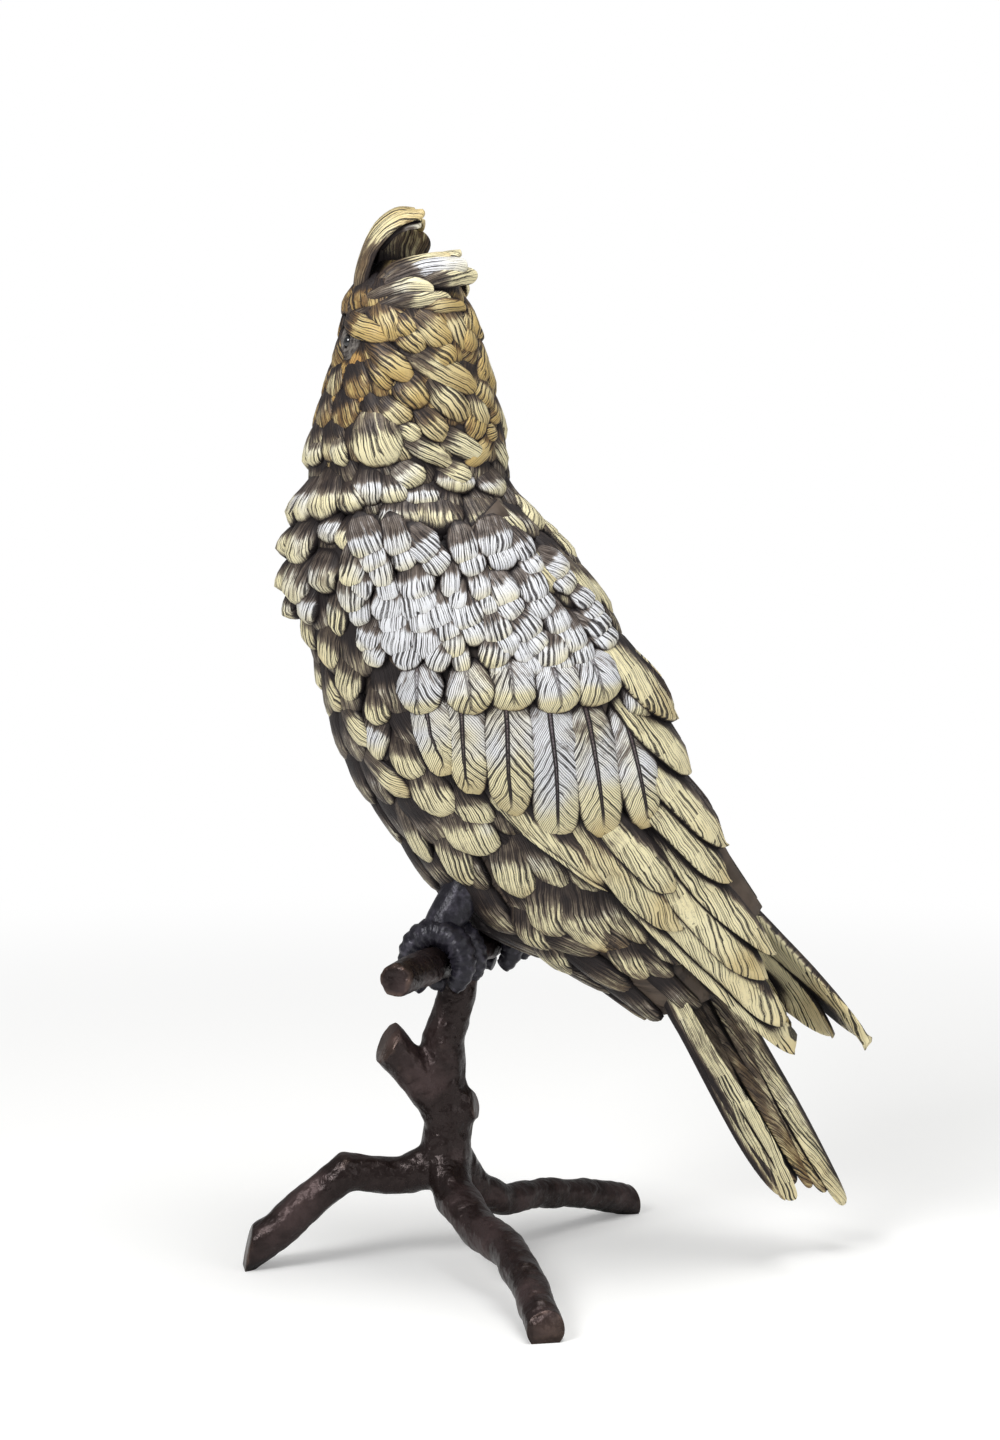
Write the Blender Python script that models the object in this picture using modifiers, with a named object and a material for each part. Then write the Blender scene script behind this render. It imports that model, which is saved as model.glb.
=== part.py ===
"""Cold-painted bronze cockatoo gripping a separately cast, three-legged branch.

Frame: metres, +Z up. The bird's chest faces -X, its left side faces -Y, and its head is
turned about sixty degrees to its own right (towards +Y). All tables below are written in a
modelling frame whose Y = 0 is the bird's middle plane. The last step moves everything so that
the origin lies on the table, under the middle of the whole object.
"""
import bpy
import bmesh
import math
from mathutils import Vector, Matrix, noise

for old in list(bpy.data.objects):
    bpy.data.objects.remove(old, do_unlink=True)

# Sizes shared by more than one piece
GAP = 0.0003            # air between pieces that touch
PERCH_R = 0.0050        # radius of the perch
TOE_R = 0.0034          # thickness of a toe, as a radius
EYE_R = 0.0019          # radius of a glass eye
TABLE_Z = 0.0           # the table top
CREST_TOP = 0.3055      # height of the crest's highest middle line over the table
REACH_FRONT = 0.0880    # how far the front leg of the branch runs towards the viewer
REACH_REAR = 0.0590     # how far the rear leg runs away
FACE_TURN = 58.0        # how far the head is turned to the bird's right, degrees
ROUND_SIDES = 12        # facets round a limb of the branch, and round an eye's socket
WELD = 0.00001          # corners nearer than this are one corner
JUST_SHORT = 1e-6       # the body's last section is read this far before its end
BODY_STEP = 0.001       # steps over which the slope of the body is read: metres down it,
BODY_TURN = 0.02        # and radians round it
SLOPE_STEP = 0.0015     # the same for the wing, metres
ANY_SIDE = (0.31, 0.87, 0.39)   # a direction that no limb runs along

# The body from crown to tail root: each row is one cross-section, given by its front point
# (x, z), its back point (x, z) and its half-width across the bird
BODY = [
    (-0.0340, 0.2910, -0.0200, 0.2905, 0.0080),
    (-0.0420, 0.2810, -0.0130, 0.2830, 0.0145),
    (-0.0448, 0.2700, -0.0085, 0.2720, 0.0185),
    (-0.0480, 0.2580, -0.0045, 0.2580, 0.0205),
    (-0.0520, 0.2440, -0.0010, 0.2440, 0.0220),
    (-0.0528, 0.2320, 0.0002, 0.2330, 0.0225),
    (-0.0530, 0.2240, 0.0022, 0.2255, 0.0240),
    (-0.0560, 0.2140, 0.0095, 0.2170, 0.0280),
    (-0.0575, 0.2030, 0.0180, 0.2080, 0.0330),
    (-0.0555, 0.1900, 0.0260, 0.1965, 0.0365),
    (-0.0505, 0.1750, 0.0330, 0.1840, 0.0380),
    (-0.0470, 0.1580, 0.0390, 0.1700, 0.0370),
    (-0.0400, 0.1420, 0.0430, 0.1560, 0.0340),
    (-0.0300, 0.1280, 0.0475, 0.1420, 0.0305),
    (-0.0195, 0.1140, 0.0520, 0.1280, 0.0265),
    (-0.0075, 0.1010, 0.0560, 0.1140, 0.0225),
    (0.0100, 0.0930, 0.0600, 0.1030, 0.0190),
    (0.0280, 0.0835, 0.0640, 0.0930, 0.0160),
    (0.0440, 0.0730, 0.0690, 0.0830, 0.0120),
]
BODY_SIDES = 20         # points round one body section

# Feathers that show one by one on the seen side: root and tip, each as distance down the body
# and degrees round it, with the width that shows. 0 degrees is the chest, and negative angles
# are the bird's left.
HEAD_SCALES = [
    (0.017, -37, 0.023, -80, 0.0054), (0.014, -69, 0.024, -84, 0.0045), (0.017, -85, 0.023, -96, 0.0045),
    (0.018, -104, 0.026, -125, 0.0065), (0.017, -130, 0.028, -148, 0.0051),
    (0.025, -69, 0.035, -95, 0.0054), (0.029, -66, 0.037, -81, 0.0040), (0.028, -99, 0.038, -146, 0.0065),
    (0.035, -89, 0.042, -101, 0.0065), (0.035, -107, 0.046, -132, 0.0065),
    (0.038, -140, 0.048, -143, 0.0054), (0.041, -77, 0.046, -94, 0.0054),
    (0.043, -102, 0.051, -114, 0.0054), (0.047, -87, 0.050, -101, 0.0043),
    (0.050, -94, 0.059, -119, 0.0051), (0.049, -112, 0.057, -145, 0.0057),
    (0.026, -175, 0.039, -175, 0.0045), (0.039, -175, 0.052, -175, 0.0040),
    (0.050, -154, 0.060, -172, 0.0051), (0.028, -81, 0.035, -88, 0.0034),
    (0.025, -112, 0.030, -128, 0.0057), (0.021, -88, 0.027, -104, 0.0051),
]
NECK_SCALES = [
    (0.046, -70, 0.059, -76, 0.0115), (0.052, -22, 0.058, -23, 0.0068), (0.051, -44, 0.058, -53, 0.0045),
    (0.050, -2, 0.059, 0, 0.0060), (0.059, -87, 0.064, -98, 0.0074), (0.058, -115, 0.064, -129, 0.0057),
]
RUFF_SCALES = [
    (0.065, -3, 0.076, -3, 0.0095), (0.064, -22, 0.075, -22, 0.0085), (0.063, -40, 0.074, -39, 0.0090),
    (0.064, -55, 0.072, -60, 0.0066), (0.061, -67, 0.070, -68, 0.0074), (0.062, -81, 0.070, -82, 0.0066),
    (0.065, -95, 0.071, -96, 0.0078), (0.060, -119, 0.067, -118, 0.0086),
    (0.062, -144, 0.069, -147, 0.0094), (0.076, -3, 0.084, -3, 0.0080), (0.075, -26, 0.086, -23, 0.0090),
    (0.073, -45, 0.080, -45, 0.0066), (0.075, -63, 0.083, -59, 0.0090), (0.070, -87, 0.078, -84, 0.0094),
    (0.070, -105, 0.079, -98, 0.0090), (0.085, -3, 0.093, -3, 0.0075), (0.085, -28, 0.096, -17, 0.0090),
    (0.084, -44, 0.093, -40, 0.0074), (0.093, -5, 0.100, -3, 0.0074), (0.092, -30, 0.101, -24, 0.0070),
]
CHEST_SCALES = [
    (0.098, -25, 0.109, -8, 0.0060), (0.095, -46, 0.105, -40, 0.0059), (0.105, -35, 0.114, -25, 0.0074),
    (0.112, -8, 0.121, -3, 0.0060), (0.113, -40, 0.123, -33, 0.0082), (0.118, -19, 0.125, -30, 0.0066),
    (0.122, -51, 0.130, -49, 0.0062), (0.129, -47, 0.139, -40, 0.0074), (0.136, -57, 0.146, -55, 0.0086),
    (0.145, -60, 0.158, -58, 0.0101), (0.152, -72, 0.162, -71, 0.0094), (0.159, -64, 0.171, -62, 0.0125),
    (0.165, -52, 0.180, -44, 0.0086), (0.158, -36, 0.172, -30, 0.0070), (0.172, -73, 0.186, -67, 0.0090),
    (0.126, -32, 0.135, -42, 0.0062), (0.140, -38, 0.150, -50, 0.0062),
]
TAIL_COVERTS = [
    (0.170, -85, 0.186, -87, 0.0082), (0.176, -96, 0.189, -102, 0.0082), (0.183, -81, 0.202, -63, 0.0086),
    (0.188, -92, 0.211, -75, 0.0101), (0.190, -109, 0.211, -99, 0.0101), (0.191, -65, 0.207, -41, 0.0071),
    (0.209, -88, 0.223, -73, 0.0078), (0.202, -54, 0.219, -12, 0.0063),
    (0.208, -112, 0.222, -108, 0.0085),
]
BACK_SCALES = [
    (0.070, -175, 0.079, -156, 0.0074), (0.072, -131, 0.083, -130, 0.0109),
    (0.076, -175, 0.084, -175, 0.0060), (0.085, -115, 0.093, -118, 0.0074),
    (0.080, -175, 0.091, -175, 0.0070), (0.087, -135, 0.099, -136, 0.0105),
    (0.092, -158, 0.107, -158, 0.0090), (0.094, -175, 0.110, -175, 0.0082),
    (0.113, -146, 0.125, -148, 0.0074), (0.118, -172, 0.129, -176, 0.0090),
]
# Each group: its table, lift, and whether the other side of the bird gets the same feathers
SCALE_GROUPS = [
    (TAIL_COVERTS, 0.0026, True),
    (CHEST_SCALES, 0.0030, True),
    (BACK_SCALES, 0.0030, True),
    (RUFF_SCALES, 0.0055, True),
    (NECK_SCALES, 0.0030, True),
    (HEAD_SCALES, 0.0030, False),
]
UNDER_SHARE = 0.75      # how much of a scale lies under the one above it, per length that shows
WIDEN = 1.30            # the covered part of a scale is this much wider than what shows
HEAD_BACK = -122.0      # the middle of the back of the turned head, degrees
SIDE_LIFT = 0.0028      # feathers stand out no more than this at the bird's sides
SWEEP_FADE = 40.0       # the sweep dies out over this angle at the back of the head

# A lower layer of feathers fills in between them: root and tip down the body, first and last
# angle, how many, width, lift, and how far a tip is swept away from the face, in degrees
BODY_ROWS = [
    (0.003, 0.014, -165, 195, 10, 0.0110, 0.0012, 20),
    (0.010, 0.022, -150, 205, 12, 0.0110, 0.0012, 22),
    (0.018, 0.030, -165, 195, 13, 0.0105, 0.0012, 22),
    (0.026, 0.039, -150, 205, 13, 0.0110, 0.0012, 20),
    (0.034, 0.048, -165, 195, 14, 0.0105, 0.0012, 16),
    (0.042, 0.057, -178, 160, 14, 0.0110, 0.0014, 12),
    (0.050, 0.065, -165, 195, 15, 0.0105, 0.0014, 8),
    (0.058, 0.073, -178, 160, 15, 0.0105, 0.0016, 4),
    (0.067, 0.082, -172, 172, 16, 0.0110, 0.0018, 0),
    (0.076, 0.093, -178, 160, 16, 0.0115, 0.0018, 0),
    (0.086, 0.104, -172, 172, 15, 0.0120, 0.0018, 0),
    (0.097, 0.116, -178, 165, 16, 0.0125, 0.0018, 0),
    (0.108, 0.128, -172, 172, 15, 0.0125, 0.0016, 0),
    (0.120, 0.140, -60, 60, 9, 0.0110, 0.0014, 0),
    (0.132, 0.153, -66, 66, 9, 0.0115, 0.0014, 0),
    (0.146, 0.167, -84, 84, 10, 0.0125, 0.0016, 0),
    (0.160, 0.182, -90, 90, 10, 0.0125, 0.0018, 0),
    (0.174, 0.197, -112, 112, 11, 0.0125, 0.0018, 0),
    (0.188, 0.212, -120, 120, 9, 0.0125, 0.0020, 0),
    (0.202, 0.226, -130, 130, 8, 0.0115, 0.0020, 0),
    (0.214, 0.240, -130, 130, 7, 0.0105, 0.0020, 0),
]
JOG = 0.0016            # uneven ends of neighbouring feathers, drawn from smooth noise,
JOG_ROW = 3.1           # which is read this far apart from row to row
JOG_PLACE = 1.7         # and this far apart from feather to feather
FACE_LOW = 0.048        # the bare face ends this far down the body's middle line
FACE_HALF = 30.0        # half-angle of the bare face, degrees

# Outline of a feather: share of its length, share of its width, share of its lift
FEATHER_ROWS = [(0.0, 0.62, -0.25), (0.45, 0.98, 0.50), (0.82, 0.86, 0.92), (1.0, 0.40, 1.0)]
FEATHER_CROWN = ((-1, 0.5), (0, 1.0), (1, 0.5))     # share of half-width, share of lift
FEATHER_DEPTH = 0.0034  # how far a feather's root and rim reach under the surface
# Section of a free feather: share of its half-width, share of its thickness
BLADE_SECTION = ((-1, 0), (-0.5, 0.5), (0, 0.62), (0.5, 0.5), (1, 0), (0.5, -0.5), (-0.5, -0.5))
BLADE_ROOT = 0.70       # a free feather's width at its root, per full width
BLADE_FULL = 1.25       # where it is widest: the larger, the nearer to its root
BLADE_TIP = 0.32        # its width at the very tip, per full width
BLADE_THINS = 0.55      # how much of its thickness is lost by the tip

# The folded wing. Its own axis starts at the wrist and runs down and back at 45 degrees.
WRIST = (-0.0280, 0.1960)
WING_LEN = 0.1895
WING_TOP = [(0, 0.044), (0.07, 0.0425), (0.26, 0.0365), (0.38, 0.031), (0.48, 0.025),
            (0.65, 0.015), (0.79, 0.009), (1, 0.002)]
WING_LOW = [(0, -0.014), (0.08, -0.018), (0.28, -0.022), (0.42, -0.018), (0.59, -0.013),
            (0.77, -0.0115), (0.9, -0.0125), (1, -0.008)]
WING_OUT = [(0, 0.038), (0.15, 0.0425), (0.3, 0.0425), (0.45, 0.036), (0.6, 0.0275),
            (0.8, 0.017), (1, 0.0105)]
WING_THICK = [(0, 0.016), (0.45, 0.014), (0.62, 0.006), (1, 0.003)]
WING_FULL = 0.3         # where the wing bulges most, as a share of its breadth from the lower edge
WING_ROUND = 0.72       # breadth of the round upper part
WING_DROP = 0.18        # how much of the bulge is lost at the lower edge

# Wing feathers: root (along, across), tip (along, across), width
WING_MEDIAN = [
    (0.0140, -0.0065, 0.0275, -0.0165, 0.0130), (0.0230, 0.0025, 0.0368, -0.0070, 0.0130),
    (0.0300, 0.0115, 0.0440, 0.0010, 0.0135), (0.0380, 0.0195, 0.0535, 0.0090, 0.0135),
    (0.0450, 0.0270, 0.0600, 0.0180, 0.0140), (0.0560, 0.0315, 0.0740, 0.0260, 0.0130),
]
WING_GREATER = [
    (0.0170, -0.0080, 0.0440, -0.0255, 0.0120), (0.0230, 0.0000, 0.0532, -0.0235, 0.0125),
    (0.0310, 0.0090, 0.0649, -0.0192, 0.0130), (0.0400, 0.0160, 0.0790, -0.0150, 0.0135),
    (0.0500, 0.0200, 0.0870, -0.0062, 0.0130), (0.0600, 0.0250, 0.0940, 0.0030, 0.0120),
]
WING_LONG = [
    (0.0760, -0.0130, 0.1730, -0.0128, 0.0090), (0.0830, -0.0075, 0.1640, -0.0080, 0.0095),
    (0.0880, -0.0020, 0.1500, -0.0030, 0.0095), (0.0900, 0.0040, 0.1470, 0.0025, 0.0090),
    (0.0500, -0.0190, 0.1014, -0.0130, 0.0110), (0.0700, -0.0100, 0.1218, -0.0075, 0.0110),
    (0.0750, -0.0020, 0.1120, -0.0020, 0.0105), (0.0750, 0.0100, 0.1225, 0.0080, 0.0100),
    (0.0680, 0.0170, 0.1150, 0.0140, 0.0105), (0.0560, 0.0250, 0.0930, 0.0215, 0.0110),
    (0.0440, 0.0320, 0.0800, 0.0290, 0.0120),
]
FAR_EXTRA = [(0.1000, -0.0040, 0.1830, -0.0035, 0.0100), (0.1000, 0.0020, 0.1915, 0.0020, 0.0100)]
# The small shoulder feathers: where each tip is, top row first. All grow the same way.
SHOULDER_TIPS = [
    (-0.0130, 0.0040), (-0.0070, 0.0100), (-0.0005, 0.0150), (0.0065, 0.0200), (0.0125, 0.0260),
    (0.0190, 0.0315), (-0.0110, -0.0050), (-0.0045, 0.0000), (0.0035, 0.0050), (0.0100, 0.0100),
    (0.0175, 0.0145), (0.0235, 0.0205), (0.0300, 0.0265), (-0.0060, -0.0115), (0.0010, -0.0075),
    (0.0075, -0.0020), (0.0145, 0.0030), (0.0215, 0.0075), (0.0280, 0.0125), (0.0345, 0.0185),
    (0.0400, 0.0245), (0.0040, -0.0165), (0.0105, -0.0110), (0.0170, -0.0055), (0.0240, -0.0005),
    (0.0310, 0.0045), (0.0375, 0.0105), (0.0430, 0.0170), (0.0470, 0.0240),
]
SHOULDER_ROOT = (-0.0125, 0.0085)
SHOULDER_WIDE = 0.0092
LIFT_SHOULDER = 0.0022
LIFT_MEDIAN = 0.0032
LIFT_GREATER = 0.0024
LIFT_LONG = 0.0030
WING_STEPS = 12         # steps along a wing plate
PLATE_END = 0.72        # the plate's share of the wing, so that only feathers reach the wing's tip
PLATE_ACROSS = (0.05, 0.2, 0.4, 0.6, 0.8, 0.91)
PLATE_APART = 0.0010    # the plates stay this far from the bird's middle

# The tail runs from its root to the end of its first feather
TAIL_ROOT = (0.0488, 0.0958)
TAIL_TIP = (0.0901, 0.0230)
# The tail is a trough that opens towards the bird's left: for each feather, its place across
# the tail, its depth from the bird's middle, and how much longer it is than the first
TAIL = [
    (0.0075, 0.0095, 0.0140), (0.0040, 0.0075, 0.0070), (0.0005, 0.0045, 0.0030),
    (-0.0035, 0.0015, -0.0010), (-0.0075, -0.0010, 0.0000), (-0.0095, -0.0045, 0.0005),
    (-0.0088, -0.0090, -0.0020), (-0.0065, -0.0125, 0.0000),
]
TAIL_NARROWS = 0.85     # the tail's spread at its tip, per spread at its root
TAIL_W = 0.0090         # width of one tail feather
TAIL_T = 0.0032         # thickness of one tail feather

# Crest feathers as middle lines (x, y, z), with the widest half-width. The first five rise from
# the forehead and curl back over a hollow, and the others sweep back over the crown.
CREST_T = 0.0034
CREST_MIDDLE = (-0.0200, 0.0, 0.2830)
CREST = [
    ([(-0.0300, 0.0130, 0.2740), (-0.0305, 0.0145, 0.2850), (-0.0290, 0.0130, 0.2950),
      (-0.0262, 0.0095, 0.3015)], 0.0080),
    ([(-0.0400, 0.0060, 0.2740), (-0.0405, 0.0050, 0.2850), (-0.0385, 0.0030, 0.2935),
      (-0.0350, 0.0010, 0.3010), (-0.0295, 0.0000, CREST_TOP), (-0.0240, 0.0000, CREST_TOP)], 0.0085),
    ([(-0.0402, -0.0030, 0.2740), (-0.0400, -0.0055, 0.2850), (-0.0378, -0.0070, 0.2930),
      (-0.0340, -0.0080, 0.2990), (-0.0285, -0.0080, 0.3032), (-0.0212, -0.0075, 0.3044)], 0.0046),
    ([(-0.0340, -0.0050, 0.2950), (-0.0300, -0.0080, 0.2990), (-0.0265, -0.0085, 0.3008),
      (-0.0222, -0.0080, 0.3010)], 0.0022),
    ([(-0.0345, 0.0100, 0.2900), (-0.0320, 0.0100, 0.2980), (-0.0270, 0.0090, 0.3030),
      (-0.0215, 0.0080, 0.3020)], 0.0055),
    ([(-0.0385, -0.0090, 0.2790), (-0.0308, -0.0115, 0.2873), (-0.0222, -0.0095, 0.2905),
      (-0.0140, -0.0060, 0.2920)], 0.0036),
    ([(-0.0380, -0.0110, 0.2785), (-0.0278, -0.0145, 0.2850), (-0.0185, -0.0130, 0.2885),
      (-0.0092, -0.0090, 0.2897)], 0.0036),
    ([(-0.0340, -0.0120, 0.2790), (-0.0200, -0.0145, 0.2845), (-0.0128, -0.0115, 0.2862),
      (-0.0066, -0.0060, 0.2868)], 0.0030),
    ([(-0.0422, -0.0085, 0.2760), (-0.0345, -0.0145, 0.2797), (-0.0260, -0.0170, 0.2822),
      (-0.0185, -0.0155, 0.2817)], 0.0034),
    ([(-0.0400, -0.0120, 0.2742), (-0.0306, -0.0170, 0.2775), (-0.0215, -0.0175, 0.2785),
      (-0.0138, -0.0125, 0.2792)], 0.0032),
    ([(-0.0330, -0.0150, 0.2745), (-0.0226, -0.0165, 0.2760), (-0.0158, -0.0150, 0.2765),
      (-0.0100, -0.0080, 0.2770)], 0.0032),
    ([(-0.0300, 0.0000, 0.2830), (-0.0220, 0.0000, 0.2895), (-0.0165, 0.0005, 0.2925),
      (-0.0110, 0.0010, 0.2935)], 0.0052),
    ([(-0.0320, 0.0090, 0.2790), (-0.0250, 0.0115, 0.2845), (-0.0175, 0.0115, 0.2885),
      (-0.0095, 0.0090, 0.2900)], 0.0050),
    ([(-0.0300, 0.0130, 0.2750), (-0.0230, 0.0150, 0.2790), (-0.0160, 0.0140, 0.2820),
      (-0.0090, 0.0100, 0.2845)], 0.0046),
]

# The perch lies level and runs away from the viewer. The feet sit on it.
PERCH_NEAR = (-0.0295, -0.0420, 0.0905)
PERCH_FAR = (0.0035, 0.0260, 0.0930)
FOOT_AT = (0.40, 0.83)          # where the two feet are along the perch
HIP = ((-0.0060, -0.0110, 0.1200), (0.0020, 0.0120, 0.1200))
SHANK_R = 0.0060
TOE_SPREAD = 0.0042     # half the distance between the two front toes
# Each toe: which side of the leg, front or back of the perch, degrees of grip
TOES = ((-1, 1, 150), (1, 1, 165), (-1, -1, 140), (1, -1, 125))
TOE_PRESS = 0.8         # how near a toe's middle lies to the perch, per toe radius
TOE_THICK = (1.15, 0.60)        # a toe's radius at its root and at its claw, per toe radius
HIP_THICK = 1.25        # the leg's radius where it leaves the body, per shank radius

# The eyes sit on the turned head, and the bill is on its far side. The bill's tables give the
# distance ahead of the head's middle, the height over it and the radius.
EYE_DOWN = 0.0225       # distance down the body's middle line
EYE_TURN = 92.0         # degrees either side of the face
EYE_PROUD = 0.0002
BILL_BASE = (-0.0265, 0.0, 0.2600)
BILL_UPPER = [(0.012, 0.004, 0.0075), (0.019, 0.004, 0.0068), (0.0255, 0.000, 0.0054),
              (0.0290, -0.007, 0.0036), (0.0285, -0.013, 0.0014)]
BILL_LOWER = [(0.012, -0.008, 0.0060), (0.019, -0.009, 0.0050), (0.0235, -0.0085, 0.0030)]

# The branch: one middle line with a radius at each point, for each limb
TRUNK = [(-0.0165, 0.000, 0.0270, 0.0078), (-0.0150, 0.000, 0.0405, 0.0072),
         (-0.0165, 0.000, 0.0540, 0.0068), (-0.0165, 0.000, 0.0660, 0.0064),
         (-0.0125, 0.000, 0.0790, 0.0056), (-0.0105, 0.000, 0.0915, 0.0048)]
STUB_LEFT = [(-0.0165, 0.000, 0.0450, 0.0062), (-0.0250, -0.003, 0.0560, 0.0058),
             (-0.0345, -0.006, 0.0680, 0.0060)]
KNOB = [(-0.0150, 0.0, 0.0440, 0.0066), (-0.0065, -0.001, 0.0475, 0.0042)]
LEG_LEFT = [(-0.0165, 0.000, 0.0290, 0.0070), (-0.0300, -0.002, 0.0255, 0.0058),
            (-0.0450, -0.005, 0.0275, 0.0058), (-0.0540, -0.007, 0.0205, 0.0056),
            (-0.0640, -0.0085, 0.0115, 0.0057), (-0.0780, -0.0102, 0.0018, 0.0059)]
LEG_FRONT = [(-0.0165, 0.000, 0.0300, 0.0070), (-0.0130, -0.010, 0.0215, 0.0062),
             (-0.0063, -0.025, 0.0158, 0.0060), (0.0020, -0.042, 0.0146, 0.0056),
             (0.0078, -0.062, 0.0100, 0.0052), (0.0130, -REACH_FRONT, 0.0022, 0.0053)]
LEG_REAR = [(-0.0150, 0.002, 0.0310, 0.0066), (-0.0075, 0.008, 0.0200, 0.0056),
            (0.0005, 0.014, 0.0140, 0.0050), (0.0121, 0.028, 0.0128, 0.0046),
            (0.0261, 0.042, 0.0092, 0.0048), (0.0440, REACH_REAR, 0.0020, 0.0054)]
SAWN_OFF = 0.0040       # how much of a leg's round end the saw takes
# Sawn ends: a point on each cut and the direction it faces
CUTS = [((-0.0328, -0.0055, 0.0655), (-0.80, -0.35, 0.48)),
        ((-0.0735, -0.0097, 0.0060), (-0.93, -0.15, 0.20)),
        ((0.0125, SAWN_OFF - REACH_FRONT, 0.0050), (0.20, -0.97, 0.10)),
        ((0.0405, REACH_REAR - SAWN_OFF, 0.0060), (0.75, 0.65, 0.05)),
        ((-0.0075, -0.001, 0.0470), (0.93, -0.25, 0.20))]
BARK = 0.0007           # height of the bark's lumps
BARK_SCALE = 120.0      # lumps a metre
BARK_FINE = 0.5         # smaller lumps on the large ones: their height, per large lump,
BARK_FINER = 2.7        # and how many go on one large lump's length
CUT_BOX = 0.0240        # block that saws off a stub or leg
TABLE_BOX = 0.4000      # block that makes the feet stand flat
BRANCH_TRIANGLES = 2200
BIRD_TRIANGLES = 9000
BRANCH_GRAIN = 0.0011   # finest detail kept where limbs are melted together
BIRD_GRAIN = 0.0008     # finest detail kept where feathers are melted together
PERCH_SIDES = 24        # facets of the perch's clearance
PERCH_PAST = 0.0240     # the clearance runs on this far past the perch's ends
PERCH_SLIM = 0.98       # the perch before its bark is lumped, per full radius
PERCH_FREE = 0.2        # the perch's bark is pressed flat from this far under its middle, per radius
SMOOTHINGS = 6          # rounds of smoothing that melt the limbs together
TOE_STEPS = 5           # steps along one toe


def smooth_value(rows, s):
    """Read one value from a list of (position, value) rows."""
    for (s0, v0), (s1, v1) in zip(rows, rows[1:]):
        if s <= s1:
            k = max(0.0, (s - s0) / (s1 - s0))
            return v0 + (v1 - v0) * k
    return rows[-1][1]


def spine_marks():
    """Distance of each body section from the crown, along the section centres."""
    marks = [0.0]
    for a, b in zip(BODY, BODY[1:]):
        step = math.hypot((b[0] + b[2] - a[0] - a[2]) / 2, (b[1] + b[3] - a[1] - a[3]) / 2)
        marks.append(marks[-1] + step)
    return marks


MARKS = spine_marks()


def body_section(d):
    """Blend the body's sections at distance d with a smooth curve through all of them."""
    d = min(max(d, 0.0), MARKS[-1] - JUST_SHORT)
    i = max(j for j, m in enumerate(MARKS) if m <= d)
    k = (d - MARKS[i]) / (MARKS[i + 1] - MARKS[i])
    p0, p1 = BODY[max(i - 1, 0)], BODY[i]
    p2, p3 = BODY[i + 1], BODY[min(i + 2, len(BODY) - 1)]
    return [0.5 * (2 * b + (c - a) * k + (2 * a - 5 * b + 4 * c - e) * k * k
                   + (3 * b - a - 3 * c + e) * k ** 3)
            for a, b, c, e in zip(p0, p1, p2, p3)]


def on_body(d, angle):
    """A point of the body's surface: d down the body, angle in radians from the chest."""
    fx, fz, bx, bz, half = body_section(d)
    c, s = math.cos(angle), math.sin(angle)
    return Vector(((fx + bx) / 2 + (fx - bx) / 2 * c, half * s, (fz + bz) / 2 + (fz - bz) / 2 * c))


def body_frame(d, angle):
    """Surface point and outward direction of the body."""
    p = on_body(d, angle)
    down = on_body(d + BODY_STEP, angle) - on_body(d - BODY_STEP, angle)
    turn = on_body(d, angle + BODY_TURN) - on_body(d, angle - BODY_TURN)
    n = turn.cross(down).normalized()
    fx, fz, bx, bz, half = body_section(d)
    if n.dot(p - Vector(((fx + bx) / 2, 0, (fz + bz) / 2))) < 0:
        n.negate()
    return p, n


def wing_point(along, across, side):
    """A point of the folded wing's outer surface. side is -1 for the left wing."""
    q = min(max(along / WING_LEN, 0.0), 1.0)
    top, low, out = (smooth_value(t, q) for t in (WING_TOP, WING_LOW, WING_OUT))
    rho = min(max((across - low) / (top - low), 0.0), 1.0)
    if rho > WING_FULL:
        bulge = math.sqrt(max(0.0, 1 - ((rho - WING_FULL) / WING_ROUND) ** 2))
    else:
        bulge = 1 - WING_DROP * ((WING_FULL - rho) / WING_FULL) ** 2
    x = WRIST[0] + (along + across) * math.sqrt(0.5)
    z = WRIST[1] + (across - along) * math.sqrt(0.5)
    return Vector((x, side * out * bulge, z))


def wing_frame(along, across, side):
    """Surface point and outward direction of a wing."""
    e = SLOPE_STEP
    p = wing_point(along, across, side)
    u = wing_point(along + e, across, side) - wing_point(along - e, across, side)
    v = wing_point(along, across + e, side) - wing_point(along, across - e, side)
    n = u.cross(v).normalized()
    if n.y * side < 0:
        n.negate()
    return p, n


def add_solid(bm, rows):
    """Skin a closed solid over rings of points that all have the same count."""
    rings = [[bm.verts.new(p) for p in row] for row in rows]
    n = len(rings[0])
    for a, b in zip(rings, rings[1:]):
        for i in range(n):
            bm.faces.new((a[i], a[(i + 1) % n], b[(i + 1) % n], b[i]))
    bm.faces.new(list(reversed(rings[0])))
    bm.faces.new(rings[-1])


def finished(name, bm):
    """Turn a bmesh into an object with its faces outwards."""
    bmesh.ops.recalc_face_normals(bm, faces=bm.faces)
    me = bpy.data.meshes.new(name)
    bm.to_mesh(me)
    bm.free()
    ob = bpy.data.objects.new(name, me)
    bpy.context.scene.collection.objects.link(ob)
    return ob


def feather(frame, root, tip, across, width, lift):
    """One feather as a crowned solid, sunk into the surface at its root.

    frame(u, v) gives the surface point and outward direction. across is the step in (u, v)
    for one metre sideways.
    """
    bm = bmesh.new()
    rows = []
    for s, w, h in FEATHER_ROWS:
        u = root[0] + (tip[0] - root[0]) * s
        v = root[1] + (tip[1] - root[1]) * s
        ring = []
        for side, crown in FEATHER_CROWN:
            off = side * w * width / 2
            p, n = frame(u + across[0] * off, v + across[1] * off)
            ring.append(p + n * lift * h * crown)
        p, n = frame(u, v)
        ring.append(p - n * FEATHER_DEPTH)
        rows.append(ring)
    add_solid(bm, rows)
    return finished("feather", bm)


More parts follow.
